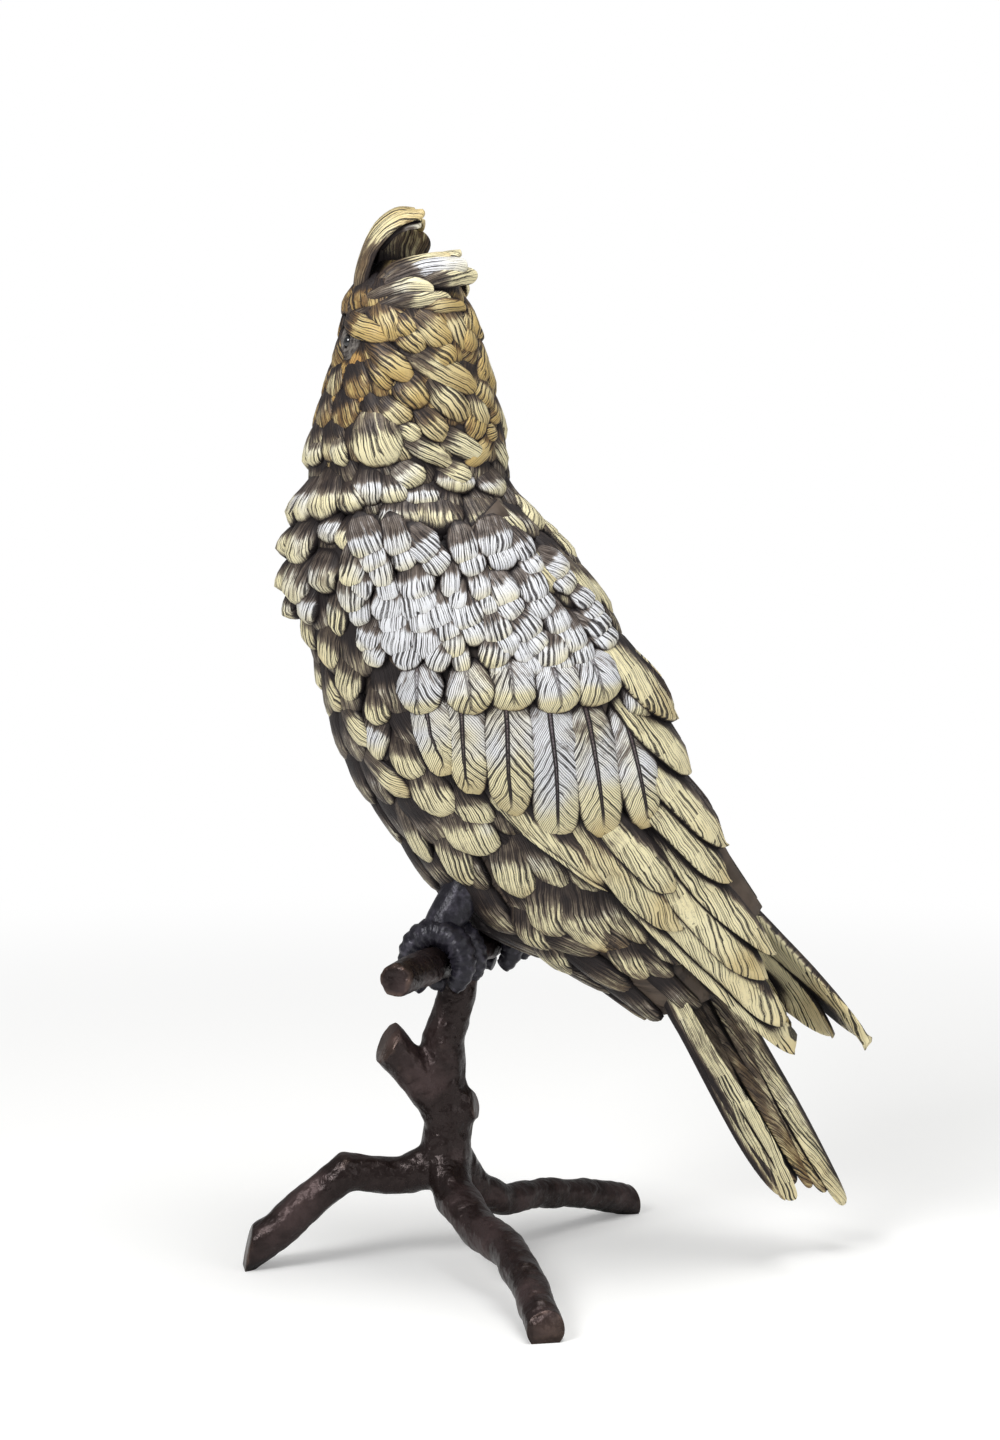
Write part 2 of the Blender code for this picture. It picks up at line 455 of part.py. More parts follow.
def scale(root, tip, width, lift):
    """One body feather between two places given as (distance, degrees)."""
    fx, fz, bx, bz, half = body_section(root[0])
    radius = (math.hypot(fx - bx, fz - bz) / 2 + half) / 2
    a = Vector((root[0], math.radians(root[1])))
    b = Vector((tip[0], math.radians(tip[1])))
    go = Vector((b.x - a.x, (b.y - a.y) * radius)).normalized()
    return feather(body_frame, a, b, (-go.y, go.x / radius), width, lift)


def blade(points, half, thick, up):
    """A long free-standing feather: a flat spindle swept along a line of points."""
    bm = bmesh.new()
    line = [Vector(p) for p in points]
    fine = []
    for a, b in zip(line, line[1:]):
        fine += [a, (a + b) / 2]
    fine.append(line[-1])
    rows = []
    last = len(fine) - 1
    for i, p in enumerate(fine):
        t = i / last
        go = (fine[min(i + 1, last)] - fine[max(i - 1, 0)]).normalized()
        flat = go.cross(up).normalized()
        rise = flat.cross(go).normalized()
        w = half * (BLADE_ROOT + (1 - BLADE_ROOT) * math.sin(math.pi * min(t * BLADE_FULL, 1.0)))
        if i == last:
            w = half * BLADE_TIP
        h = thick * (1 - BLADE_THINS * t)
        rows.append([p + flat * w * x + rise * h * z for x, z in BLADE_SECTION])
    add_solid(bm, rows)
    return finished("blade", bm)


def tube(points, sides=10):
    """A round limb along (x, y, z, radius) points, closed at both ends."""
    bm = bmesh.new()
    rows = []
    last = len(points) - 1
    side = None
    for i, (x, y, z, r) in enumerate(points):
        a, b = points[max(i - 1, 0)], points[min(i + 1, last)]
        go = (Vector(b[:3]) - Vector(a[:3])).normalized()
        if side is None:
            side = go.cross(Vector(ANY_SIDE)).normalized()
        side = (side - go * side.dot(go)).normalized()
        other = go.cross(side)
        rows.append([Vector((x, y, z)) + (side * math.cos(k) + other * math.sin(k)) * r
                     for k in (2 * math.pi * j / sides for j in range(sides))])
    add_solid(bm, rows)
    return finished("limb", bm)


def cut_away(ob, cutters):
    """Take a list of solids off ob, and remove them."""
    tools = bpy.data.collections.new("cutters")
    bpy.context.scene.collection.children.link(tools)
    tools.hide_render = True
    for c in cutters:
        bpy.context.scene.collection.objects.unlink(c)
        tools.objects.link(c)
        c.display_type = "WIRE"
    mod = ob.modifiers.new("cut", "BOOLEAN")
    mod.operation = "DIFFERENCE"
    mod.solver = "EXACT"
    mod.operand_type = "COLLECTION"
    mod.collection = tools
    apply_modifiers(ob)
    for c in cutters:
        bpy.data.objects.remove(c, do_unlink=True)
    bpy.data.collections.remove(tools)


def fuse(ob, solids, grain):
    """Melt solids that reach into each other into one skin, and drop any inner shell."""
    bm = bmesh.new()
    bm.from_mesh(ob.data)
    for solid in solids:
        bm.from_mesh(solid.data)
        bpy.data.objects.remove(solid, do_unlink=True)
    bm.to_mesh(ob.data)
    bm.free()
    mod = ob.modifiers.new("fuse", "REMESH")
    mod.mode = "VOXEL"
    mod.voxel_size = grain
    apply_modifiers(ob)
    keep_outside(ob)


def apply_modifiers(ob):
    """Make an object's modifiers part of its mesh."""
    graph = bpy.context.evaluated_depsgraph_get()
    me = bpy.data.meshes.new_from_object(ob.evaluated_get(graph))
    ob.modifiers.clear()
    ob.data = me


def keep_outside(ob):
    """Drop loose shells that the joining left inside, and sliver edges."""
    bm = bmesh.new()
    bm.from_mesh(ob.data)
    bmesh.ops.remove_doubles(bm, verts=bm.verts, dist=WELD)
    bmesh.ops.dissolve_degenerate(bm, edges=bm.edges, dist=WELD)
    left = set(bm.verts)
    shells = []
    while left:
        start = left.pop()
        shell, todo = {start}, [start]
        while todo:
            for e in todo.pop().link_edges:
                for v in e.verts:
                    if v in left:
                        left.discard(v)
                        shell.add(v)
                        todo.append(v)
        shells.append(shell)
    biggest = max(shells, key=len)
    drop = [v for s in shells if s is not biggest for v in s]
    bmesh.ops.delete(bm, geom=drop, context="VERTS")
    bm.to_mesh(ob.data)
    bm.free()


# The cockatoo: body, folded wings, tail, crest, beak, legs and feet are one casting
def cockatoo():
    bm = bmesh.new()
    rows = []
    for mark in MARKS:
        rows.append([on_body(mark, 2 * math.pi * j / BODY_SIDES) for j in range(BODY_SIDES)])
    add_solid(bm, rows)
    body = finished("cockatoo", bm)
    solids = wings() + body_feathers() + tail() + crest() + bill() + feet()
    fuse(body, solids, BIRD_GRAIN)
    thin(body, BIRD_TRIANGLES)

    # Clearance for the perch, and sockets for the glass eyes
    near, far = Vector(PERCH_NEAR), Vector(PERCH_FAR)
    past = (far - near).normalized() * PERCH_PAST
    cut_r = (PERCH_R + GAP) / math.cos(math.pi / PERCH_SIDES)
    perch = tube([(*(near - past), cut_r), (*(far + past), cut_r)], PERCH_SIDES)
    sockets = [sphere("socket", p, EYE_R + GAP, ROUND_SIDES, ROUND_SIDES * 2 // 3) for p in eye_places()]
    cut_away(body, [perch] + sockets)
    keep_outside(body)
    return body


def wings():
    """Both wing plates and all their feathers."""
    parts = []
    for side in (-1, 1):
        bm = bmesh.new()
        rows = []
        for i in range(WING_STEPS + 1):
            q = PLATE_END * i / WING_STEPS
            top, low, thick = (smooth_value(t, q) for t in (WING_TOP, WING_LOW, WING_THICK))
            outer = [wing_point(q * WING_LEN, low + (top - low) * k, side) for k in PLATE_ACROSS]
            inner = [Vector((p.x, p.y - side * min(thick, abs(p.y) - PLATE_APART), p.z)) for p in outer]
            rows.append(outer + inner[::-1])
        add_solid(bm, rows)
        parts.append(finished("wing", bm))

        def surface(along, across):
            return wing_frame(along, across, side)

        small = [(a + SHOULDER_ROOT[0], r + SHOULDER_ROOT[1], a, r, SHOULDER_WIDE)
                 for a, r in SHOULDER_TIPS]
        groups = ((WING_LONG + (FAR_EXTRA if side > 0 else []), LIFT_LONG), (WING_GREATER, LIFT_GREATER),
                  (WING_MEDIAN, LIFT_MEDIAN), (small, LIFT_SHOULDER))
        for table, lift in groups:
            for a0, r0, a1, r1, w in table:
                go = Vector((a1 - a0, r1 - r0)).normalized()
                parts.append(feather(surface, (a0, r0), (a1, r1), (-go.y, go.x), w, lift))
    return parts


def body_feathers():
    """Feathers on head, neck, ruff, back, belly and under the tail."""
    parts = []
    for row, (d0, d1, from_deg, to_deg, count, w, lift, sweep) in enumerate(BODY_ROWS):
        closed = to_deg - from_deg == 360
        for k in range(count):
            deg = from_deg + (to_deg - from_deg) * k / (count if closed else count - 1)
            away = (deg - FACE_TURN + 180) % 360 - 180
            if d0 < FACE_LOW and abs(away) < FACE_HALF:
                continue
            jog = JOG * noise.noise(Vector((row * JOG_ROW, k * JOG_PLACE, 0.5)))
            turn = math.copysign(sweep, away) * min(1.0, (180 - abs(away)) / SWEEP_FADE)
            parts.append(scale((d0, deg), (d1 + jog, deg + turn), w, lift))
    for table, lift, both in SCALE_GROUPS:
        for d0, deg0, d1, deg1, w in table:
            raised = lift + (min(lift, SIDE_LIFT) - lift) * min(abs(deg1) / 90, 1.0)
            root = (d0 - (d1 - d0) * UNDER_SHARE, deg0 - (deg1 - deg0) * UNDER_SHARE)
            parts.append(scale(root, (d1, deg1), w * WIDEN, raised))
            if both:
                parts.append(scale((root[0], -root[1]), (d1, -deg1), w * WIDEN, raised))
            elif deg1 > HEAD_BACK:
                twin = 2 * FACE_TURN
                parts.append(scale((root[0], twin - root[1]), (d1, twin - deg1), w * WIDEN, raised))
    return parts


def tail():
    """Long feathers side by side, which form a trough."""
    parts = []
    root, tip = Vector((TAIL_ROOT[0], 0, TAIL_ROOT[1])), Vector((TAIL_TIP[0], 0, TAIL_TIP[1]))
    go = (tip - root).normalized()
    rise = Vector((-go.z, 0, go.x))
    for k, (r, y, longer) in enumerate(TAIL):
        before, after = TAIL[max(k - 1, 0)], TAIL[min(k + 1, len(TAIL) - 1)]
        flat = (rise * (after[0] - before[0]) + Vector((0, after[1] - before[1], 0))).normalized()
        place = rise * r + Vector((0, y, 0))
        a = root + place
        b = tip + place * TAIL_NARROWS + go * longer
        parts.append(blade([a, (a + b) / 2, b], TAIL_W / 2, TAIL_T, flat.cross(go)))
    return parts


def crest():
    parts = []
    for line, half in CREST:
        outwards = Vector(line[len(line) // 2]) - Vector(CREST_MIDDLE)
        parts.append(blade(line, half, CREST_T, outwards.normalized()))
    return parts


def bill():
    """The hooked upper bill and the lower bill."""
    face = math.radians(FACE_TURN)
    ahead = Vector((-math.cos(face), math.sin(face), 0))
    return [tube([(*(Vector(BILL_BASE) + ahead * f + Vector((0, 0, h))), r) for f, h, r in line])
            for line in (BILL_UPPER, BILL_LOWER)]


def feet():
    """Two legs, each with two toes round the perch from the front and two from behind."""
    parts = []
    near, far = Vector(PERCH_NEAR), Vector(PERCH_FAR)
    axis = (far - near).normalized()
    over = Vector((0, 0, 1))
    over = (over - axis * over.dot(axis)).normalized()
    ahead = axis.cross(over)
    if ahead.x > 0:
        ahead.negate()
    ring = PERCH_R + GAP + TOE_R * TOE_PRESS
    root_r, claw_r = TOE_THICK
    for at, hip in zip(FOOT_AT, HIP):
        c = near.lerp(far, at)
        sole = c + over * ring
        parts.append(tube([(*hip, SHANK_R * HIP_THICK), (*Vector(hip).lerp(sole, 0.5), SHANK_R),
                           (*sole, SHANK_R), (*(c + over * PERCH_R / 2), SHANK_R)]))
        for side, way, grip in TOES:
            line = []
            for j in range(TOE_STEPS + 1):
                t = j / TOE_STEPS
                a = math.radians(grip) * t
                spread = axis * side * TOE_SPREAD * (1 + t) / 2
                p = c + spread + (over * math.cos(a) + ahead * way * math.sin(a)) * ring
                line.append((*p, TOE_R * (root_r + (claw_r - root_r) * t * t)))
            parts.append(tube(line, 8))
    return parts


def sphere(name, centre, radius, segments, rings):
    bm = bmesh.new()
    bmesh.ops.create_uvsphere(bm, u_segments=segments, v_segments=rings, radius=radius,
                              matrix=Matrix.Translation(centre))
    return finished(name, bm)


def eye_places():
    """Left eye near the picture's outline, right eye on the far side of the turned head."""
    places = []
    for deg in (FACE_TURN - EYE_TURN, FACE_TURN + EYE_TURN):
        p, n = body_frame(EYE_DOWN, math.radians(deg))
        places.append(p + n * EYE_PROUD)
    return places


# The branch stand: trunk, three legs, sawn stubs and perch are one casting
def branch():
    near, far = Vector(PERCH_NEAR), Vector(PERCH_FAR)
    base = tube(TRUNK, ROUND_SIDES)
    base.name = "branch_stand"
    slim = PERCH_R * PERCH_SLIM
    perch = tube([(*near, slim), (*near.lerp(far, 0.5), slim), (*far, slim)], 16)
    limbs = [tube(line, ROUND_SIDES) for line in (STUB_LEFT, KNOB, LEG_LEFT, LEG_FRONT, LEG_REAR)]
    fuse(base, limbs + [perch], BRANCH_GRAIN)
    axis = (far - near).normalized()
    bm = bmesh.new()
    bm.from_mesh(base.data)
    for _ in range(SMOOTHINGS):
        bmesh.ops.smooth_vert(bm, verts=bm.verts, factor=0.5,
                              use_axis_x=True, use_axis_y=True, use_axis_z=True)
    bm.normal_update()
    for v in bm.verts:
        lump = noise.noise(v.co * BARK_SCALE) + BARK_FINE * noise.noise(v.co * BARK_SCALE * BARK_FINER)
        v.co += v.normal * BARK * lump
    bm.to_mesh(base.data)
    bm.free()
    thin(base, BRANCH_TRIANGLES)
    # The perch stays inside the room that the toes leave for it
    for v in base.data.vertices:
        t = (v.co - near).dot(axis)
        off = v.co - near - axis * t
        if v.co.z > PERCH_NEAR[2] - PERCH_R * PERCH_FREE and off.length > PERCH_R:
            v.co -= off * (1 - PERCH_R / off.length)
    saws = [saw(Vector(point), Vector(facing), CUT_BOX) for point, facing in CUTS]
    saws.append(saw(Vector((0, 0, TABLE_Z)), Vector((0, 0, -1)), TABLE_BOX))
    cut_away(base, saws)
    keep_outside(base)
    return base


def saw(point, facing, size):
    """A block that takes off everything beyond a flat cut."""
    bm = bmesh.new()
    turn = facing.to_track_quat("Z", "Y").to_matrix().to_4x4()
    place = Matrix.Translation(point + facing.normalized() * size / 2) @ turn
    bmesh.ops.create_cube(bm, size=size, matrix=place)
    return finished("saw", bm)


def thin(ob, triangles):
    """Merge small facets until the object has about this many triangles."""
    now = sum(len(p.vertices) - 2 for p in ob.data.polygons)
    mod = ob.modifiers.new("thin", "DECIMATE")
    mod.ratio = min(1.0, triangles / now)
    apply_modifiers(ob)


def paint(ob, name, colour, rough, metal):
    mat = bpy.data.materials.new(name)
    mat.use_nodes = True
    shader = mat.node_tree.nodes["Principled BSDF"]
    shader.inputs["Base Color"].default_value = (*colour, 1)
    shader.inputs["Roughness"].default_value = rough
    shader.inputs["Metallic"].default_value = metal
    ob.data.materials.clear()
    ob.data.materials.append(mat)


bird = cockatoo()
stand = branch()
left_eye, right_eye = [sphere(n, p, EYE_R, 16, 10)
                       for n, p in zip(("eye_left", "eye_right"), eye_places())]
paint(bird, "painted_cockatoo", (0.72, 0.62, 0.42), 0.55, 0.0)
paint(stand, "bronze_branch", (0.055, 0.035, 0.032), 0.38, 0.6)
paint(left_eye, "glass_eye_left", (0.01, 0.01, 0.012), 0.08, 0.0)
paint(right_eye, "glass_eye_right", (0.01, 0.01, 0.012), 0.08, 0.0)
everything = [bird, stand, left_eye, right_eye]

# Move the whole object so that the origin is on the table under its middle
corners = [v.co for ob in everything for v in ob.data.vertices]
low = Vector([min(c[i] for c in corners) for i in range(3)])
high = Vector([max(c[i] for c in corners) for i in range(3)])
shift = Vector((-(low.x + high.x) / 2, -(low.y + high.y) / 2, -low.z))
group = bpy.data.collections.new("parrot_figurine")
bpy.context.scene.collection.children.link(group)
for ob in everything:
    ob.data.transform(Matrix.Translation(shift))
    bpy.context.scene.collection.objects.unlink(ob)
    group.objects.link(ob)
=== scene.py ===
"""Looks of a cold-painted bronze cockatoo on a three-legged branch.

The bird is built feather by feather on the same body, wing and tail forms as the CAD model.
Lengths are metres. Tables use the modelling frame of part.py, whose Y = 0 is the bird's middle
plane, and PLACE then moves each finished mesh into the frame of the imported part.
"""
import math

import bmesh
import bpy
from mathutils import Matrix, Vector, noise


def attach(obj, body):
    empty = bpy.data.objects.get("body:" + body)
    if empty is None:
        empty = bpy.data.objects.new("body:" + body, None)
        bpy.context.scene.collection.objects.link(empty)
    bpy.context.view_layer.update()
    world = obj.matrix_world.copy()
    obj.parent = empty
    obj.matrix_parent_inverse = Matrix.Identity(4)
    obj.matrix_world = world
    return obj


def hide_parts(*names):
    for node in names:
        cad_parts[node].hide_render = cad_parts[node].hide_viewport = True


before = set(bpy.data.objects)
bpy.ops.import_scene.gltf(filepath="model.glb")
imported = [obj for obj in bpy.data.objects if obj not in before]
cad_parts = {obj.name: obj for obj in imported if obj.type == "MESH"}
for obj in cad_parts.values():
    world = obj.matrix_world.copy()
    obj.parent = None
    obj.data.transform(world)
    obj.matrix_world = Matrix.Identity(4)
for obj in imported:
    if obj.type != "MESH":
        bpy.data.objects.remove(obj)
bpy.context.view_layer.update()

# The camera of the photograph: 0.9 m in front of the bird's middle plane, 0.246 m above the
# table and looking 5.5 degrees down, with a lens that is long enough to keep the outline flat.
PLACE = Matrix.Translation((-0.01729, 0.01306, 0.0))
CAMERA_AT = Vector((0.0, -0.9, 0.246))
LOOK_DOWN = math.radians(5.5)
LENS_MM = 78.1
lens = bpy.data.cameras.new("photo_camera")
lens.lens = LENS_MM
lens.sensor_width = 36
lens.clip_start = 0.01
camera = bpy.data.objects.new("photo_camera", lens)
camera.location = PLACE @ CAMERA_AT
camera.rotation_euler = (math.pi / 2 - LOOK_DOWN, 0, 0)
bpy.context.scene.collection.objects.link(camera)
bpy.context.scene.camera = camera


# The branch stand is one bronze casting: a trunk with three legs, sawn stubs and the perch on
# top. It was modelled in wax, so its limbs run into each other, and the bark is soft lumps.
PERCH_R = 0.0050
PERCH_NEAR = Vector((-0.0295, -0.0420, 0.0905))
PERCH_FAR = Vector((0.0035, 0.0260, 0.0930))
TRUNK = [(-0.0165, 0.000, 0.0270, 0.0078), (-0.0150, 0.000, 0.0405, 0.0072),
         (-0.0165, 0.000, 0.0540, 0.0068), (-0.0165, 0.000, 0.0660, 0.0064),
         (-0.0125, 0.000, 0.0790, 0.0056), (-0.0105, 0.000, 0.0915, 0.0048)]
STUB_LEFT = [(-0.0165, 0.000, 0.0450, 0.0062), (-0.0250, -0.003, 0.0560, 0.0058),
             (-0.0345, -0.006, 0.0680, 0.0060)]
KNOB = [(-0.0150, 0.0, 0.0440, 0.0066), (-0.0065, -0.001, 0.0475, 0.0042)]
LEG_LEFT = [(-0.0165, 0.000, 0.0290, 0.0070), (-0.0300, -0.002, 0.0255, 0.0058),
            (-0.0450, -0.005, 0.0275, 0.0058), (-0.0540, -0.007, 0.0205, 0.0056),
            (-0.0640, -0.0085, 0.0115, 0.0057), (-0.0779, -0.0102, 0.0018, 0.0058)]
LEG_FRONT = [(-0.0165, 0.000, 0.0300, 0.0070), (-0.0130, -0.010, 0.0215, 0.0062),
             (-0.0063, -0.025, 0.0158, 0.0060), (0.0020, -0.042, 0.0146, 0.0056),
             (0.0078, -0.062, 0.0100, 0.0052), (0.0130, -0.088, 0.0022, 0.0052)]
LEG_REAR = [(-0.0150, 0.002, 0.0310, 0.0066), (-0.0075, 0.008, 0.0200, 0.0056),
            (0.0005, 0.014, 0.0140, 0.0050), (0.0121, 0.028, 0.0128, 0.0046),
            (0.0261, 0.042, 0.0092, 0.0048), (0.0440, 0.059, 0.0020, 0.0054)]
# Flat cuts: a point of each and the way it faces
CUTS = [((-0.0328, -0.0055, 0.0655), (-0.80, -0.35, 0.48)),
        ((-0.0733, -0.0097, 0.0060), (-0.93, -0.15, 0.20)),
        ((0.0125, -0.0840, 0.0050), (0.20, -0.97, 0.10)),
        ((0.0405, 0.0550, 0.0060), (0.75, 0.65, 0.05)),
        ((-0.0075, -0.001, 0.0470), (0.93, -0.25, 0.20))]
CUT_BOX = 0.024         # size of the blocks that cut the ends flat
TABLE_BOX = 0.4
BARK = 0.0006           # height of the bark's lumps
BARK_SCALE = 120.0      # lumps per metre, and finer ones of half the height
BARK_FINER = 2.7
WAX_GRAIN = 0.0009      # the limbs are melted together at this grain
SMOOTHINGS = 7


def add_limb(bm, points, sides=16):
    """A closed round limb: rings at each (x, y, z, radius), bridged and capped."""
    rings = []
    last = len(points) - 1
    for i, (x, y, z, r) in enumerate(points):
        go = Vector(points[min(i + 1, last)][:3]) - Vector(points[max(i - 1, 0)][:3])
        turn = go.to_track_quat("Z", "Y").to_matrix().to_4x4()
        made = bmesh.ops.create_circle(bm, cap_ends=i in (0, last), segments=sides, radius=r,
                                       matrix=Matrix.Translation((x, y, z)) @ turn)
        rings.append({e for v in made["verts"] for e in v.link_edges
                      if len(e.link_faces) < 2 and all(w in made["verts"] for w in e.verts)})
    for a, b in zip(rings, rings[1:]):
        bmesh.ops.bridge_loops(bm, edges=list(a | b))


def as_object(name, bm):
    """A finished bmesh as an object of the scene, with its normals outwards."""
    bmesh.ops.recalc_face_normals(bm, faces=bm.faces)
    mesh = bpy.data.meshes.new(name)
    bm.to_mesh(mesh)
    bm.free()
    made = bpy.data.objects.new(name, mesh)
    bpy.context.scene.collection.objects.link(made)
    return made


def settle_modifiers(piece):
    """Apply a piece's modifiers, so that its mesh is final."""
    graph = bpy.context.evaluated_depsgraph_get()
    mesh = bpy.data.meshes.new_from_object(piece.evaluated_get(graph))
    piece.modifiers.clear()
    piece.data = mesh


def hand_over(piece, node, material, smooth=True):
    piece.data.transform(PLACE)
    for face in piece.data.polygons:
        face.use_smooth = smooth
    piece.data.materials.clear()
    piece.data.materials.append(material)
    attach(piece, "root")
    if node:
        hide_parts(node)


class Wire:
    """A shader socket on which sums can be written: each step adds one Math node."""

    def __init__(self, paint, socket):
        self.paint = paint
        self.socket = socket

    def math(self, how, *others):
        values = {i: o for i, o in enumerate((self, *others))}
        return self.paint.node("ShaderNodeMath", {"operation": how}, values)

    def __add__(self, other):
        return self.math("ADD", other)

    def __sub__(self, other):
        return self.math("SUBTRACT", other)

    def __rsub__(self, other):
        return (self * -1) + other

    def __mul__(self, other):
        return self.math("MULTIPLY", other)

    __radd__ = __add__
    __rmul__ = __mul__

    def over(self, other):
        """The greater of two."""
        return self.math("MAXIMUM", other)

    def step(self, low, high):
        """0 below low, 1 above high, and a soft rise between."""
        return self.paint.node("ShaderNodeMapRange",
                               {"interpolation_type": "SMOOTHSTEP"},
                               {"Value": self, "From Min": low, "From Max": high})


class Paint:
    """One material, with a method that adds any node and a method for each common mix."""

    def __init__(self, name, **uniform):
        self.material = bpy.data.materials.new(name)
        self.material.use_nodes = True
        self.tree = self.material.node_tree
        self.shader = self.tree.nodes["Principled BSDF"]
        for socket, value in uniform.items():
            self.shader.inputs[socket.replace("_", " ")].default_value = value

    def node(self, kind, settings=None, values=None, out=0):
        made = self.tree.nodes.new(kind)
        for key, value in (settings or {}).items():
            setattr(made, key, value)
        for key, value in (values or {}).items():
            if isinstance(value, Wire):
                self.tree.links.new(value.socket, made.inputs[key])
            else:
                made.inputs[key].default_value = value
        return Wire(self, made.outputs[out])

    def mix(self, a, b, share, how="MIX"):
        """Blend two colours by a share."""
        a, b = [(*c, 1) if isinstance(c, tuple) else c for c in (a, b)]
        return self.node("ShaderNodeMix", {"data_type": "RGBA", "blend_type": how},
                         {0: share, 6: a, 7: b}, out=2)

    def noise(self, where, scale, detail=2.0, rough=0.5):
        return self.node("ShaderNodeTexNoise", None,
                         {"Vector": where, "Scale": scale, "Detail": detail, "Roughness": rough})

    def place(self):
        return self.node("ShaderNodeTexCoord", out="Object")

    def value(self, attribute):
        return self.node("ShaderNodeAttribute", {"attribute_name": attribute}, out="Fac")

    def bump(self, height, distance, strength=1.0):
        return self.node("ShaderNodeBump", None,
                         {"Height": height, "Distance": distance, "Strength": strength})

    def drive(self, **sockets):
        for socket, wire in sockets.items():
            self.tree.links.new(wire.socket, self.shader.inputs[socket.replace("_", " ")])


BRONZE_DARK = (0.022, 0.013, 0.012)
BRONZE_RED = (0.060, 0.038, 0.037)
BRONZE_WORN = (0.30, 0.20, 0.16)


def bronze_paint():
    """Dark brown patina with redder patches, worn lighter where hands have touched it."""
    paint = Paint("patinated_bronze", Specular_IOR_Level=0.5)
    where = paint.place()
    patch = paint.noise(where, 70, 4).step(0.42, 0.66)
    grain = paint.noise(where, 900, 3)
    edge = paint.node("ShaderNodeNewGeometry", out="Pointiness").step(0.515, 0.57)
    hollow = 1 - paint.node("ShaderNodeAmbientOcclusion", {"samples": 6},
                            {"Distance": 0.008}, out="AO").step(0.35, 0.95)
    lumps = paint.noise(where, 420, 4) + paint.noise(where, 130, 2) * 3
    worn = (edge * (0.35 + paint.noise(where, 260, 2))).math("MINIMUM", 1.0)
    colour = paint.mix(BRONZE_DARK, BRONZE_RED, patch)
    colour = paint.mix(colour, BRONZE_WORN, worn * 0.55)
    colour = paint.mix(colour, (0.008, 0.006, 0.006), hollow * 0.7)
    paint.drive(Base_Color=colour, Roughness=0.22 + patch * 0.14 + grain * 0.14,
                Metallic=0.55 + worn * 0.25,
                Normal=paint.bump(lumps, 0.0007, 0.8))
    return paint.material


def saw_block(point, facing, size):
    """A block that takes off everything beyond a flat cut."""
    bm = bmesh.new()
    facing = Vector(facing).normalized()
    turn = facing.to_track_quat("Z", "Y").to_matrix().to_4x4()
    middle = Matrix.Translation(Vector(point) + facing * size / 2)
    bmesh.ops.create_cube(bm, size=size, matrix=middle @ turn)
    return as_object("saw", bm)


bm = bmesh.new()
perch_line = [(*PERCH_NEAR, PERCH_R), (*PERCH_NEAR.lerp(PERCH_FAR, 0.5), PERCH_R),
              (*PERCH_FAR, PERCH_R)]
for limb in (TRUNK, STUB_LEFT, KNOB, LEG_LEFT, LEG_FRONT, LEG_REAR, perch_line):
    add_limb(bm, limb)
branch = as_object("branch_casting", bm)
melt = branch.modifiers.new("melt", "REMESH")
melt.mode = "VOXEL"
melt.voxel_size = WAX_GRAIN
settle_modifiers(branch)
bm = bmesh.new()
bm.from_mesh(branch.data)
for _ in range(SMOOTHINGS):
    bmesh.ops.smooth_vert(bm, verts=bm.verts, factor=0.5, use_axis_x=True, use_axis_y=True,
                          use_axis_z=True)
bm.normal_update()
for v in bm.verts:
    lump = noise.noise(v.co * BARK_SCALE) + 0.5 * noise.noise(v.co * BARK_SCALE * BARK_FINER)
    v.co += v.normal * BARK * lump
bm.to_mesh(branch.data)
bm.free()
saws = [saw_block(point, facing, CUT_BOX) for point, facing in CUTS]
saws.append(saw_block((0, 0, 0), (0, 0, -1), TABLE_BOX))
for block in saws:
    cut = branch.modifiers.new("cut", "BOOLEAN")
    cut.operation = "DIFFERENCE"
    cut.solver = "EXACT"
    cut.object = block
settle_modifiers(branch)
for block in saws:
    bpy.data.objects.remove(block, do_unlink=True)
hand_over(branch, "branch_stand", bronze_paint())


# The bird's body is the bronze casting under the feathers: a smooth form from crown to tail
# root, given by cross-sections. Each row holds a section's front point, back point and
# half-width. The cheeks and the bare face show it directly; elsewhere it is painted dark brown
# as painted shade in the recess between the feathers.
FACE_TURN = 58.0        # the head is turned this far to the bird's right, degrees
BODY = [
    (-0.0340, 0.2910, -0.0200, 0.2905, 0.0080),
    (-0.0420, 0.2810, -0.0130, 0.2830, 0.0145),
    (-0.0448, 0.2700, -0.0085, 0.2720, 0.0185),
    (-0.0480, 0.2580, -0.0045, 0.2580, 0.0205),
    (-0.0520, 0.2440, -0.0010, 0.2440, 0.0220),
    (-0.0528, 0.2320, 0.0002, 0.2330, 0.0225),
    (-0.0530, 0.2240, 0.0022, 0.2255, 0.0240),
    (-0.0560, 0.2140, 0.0095, 0.2170, 0.0280),
    (-0.0575, 0.2030, 0.0180, 0.2080, 0.0330),
    (-0.0555, 0.1900, 0.0260, 0.1965, 0.0365),
    (-0.0505, 0.1750, 0.0330, 0.1840, 0.0380),
    (-0.0470, 0.1580, 0.0390, 0.1700, 0.0370),
    (-0.0400, 0.1420, 0.0430, 0.1560, 0.0340),
    (-0.0300, 0.1280, 0.0475, 0.1420, 0.0305),
    (-0.0195, 0.1140, 0.0520, 0.1280, 0.0265),
    (-0.0075, 0.1010, 0.0560, 0.1140, 0.0225),
    (0.0100, 0.0930, 0.0600, 0.1030, 0.0190),
    (0.0280, 0.0835, 0.0640, 0.0930, 0.0160),
    (0.0440, 0.0730, 0.0690, 0.0830, 0.0120),
]
MARKS = [0.0]           # each section's distance down the body
for a, b in zip(BODY, BODY[1:]):
    step = Vector((b[0] + b[2] - a[0] - a[2], b[1] + b[3] - a[1] - a[3])) / 2
    MARKS.append(MARKS[-1] + math.hypot(*step))
JUST_SHORT = 1e-6       # the last section is read this far before its end
BODY_STEP = 0.001       # steps over which the slope of the body is read: metres down it,
BODY_TURN = 0.02        # and radians round it


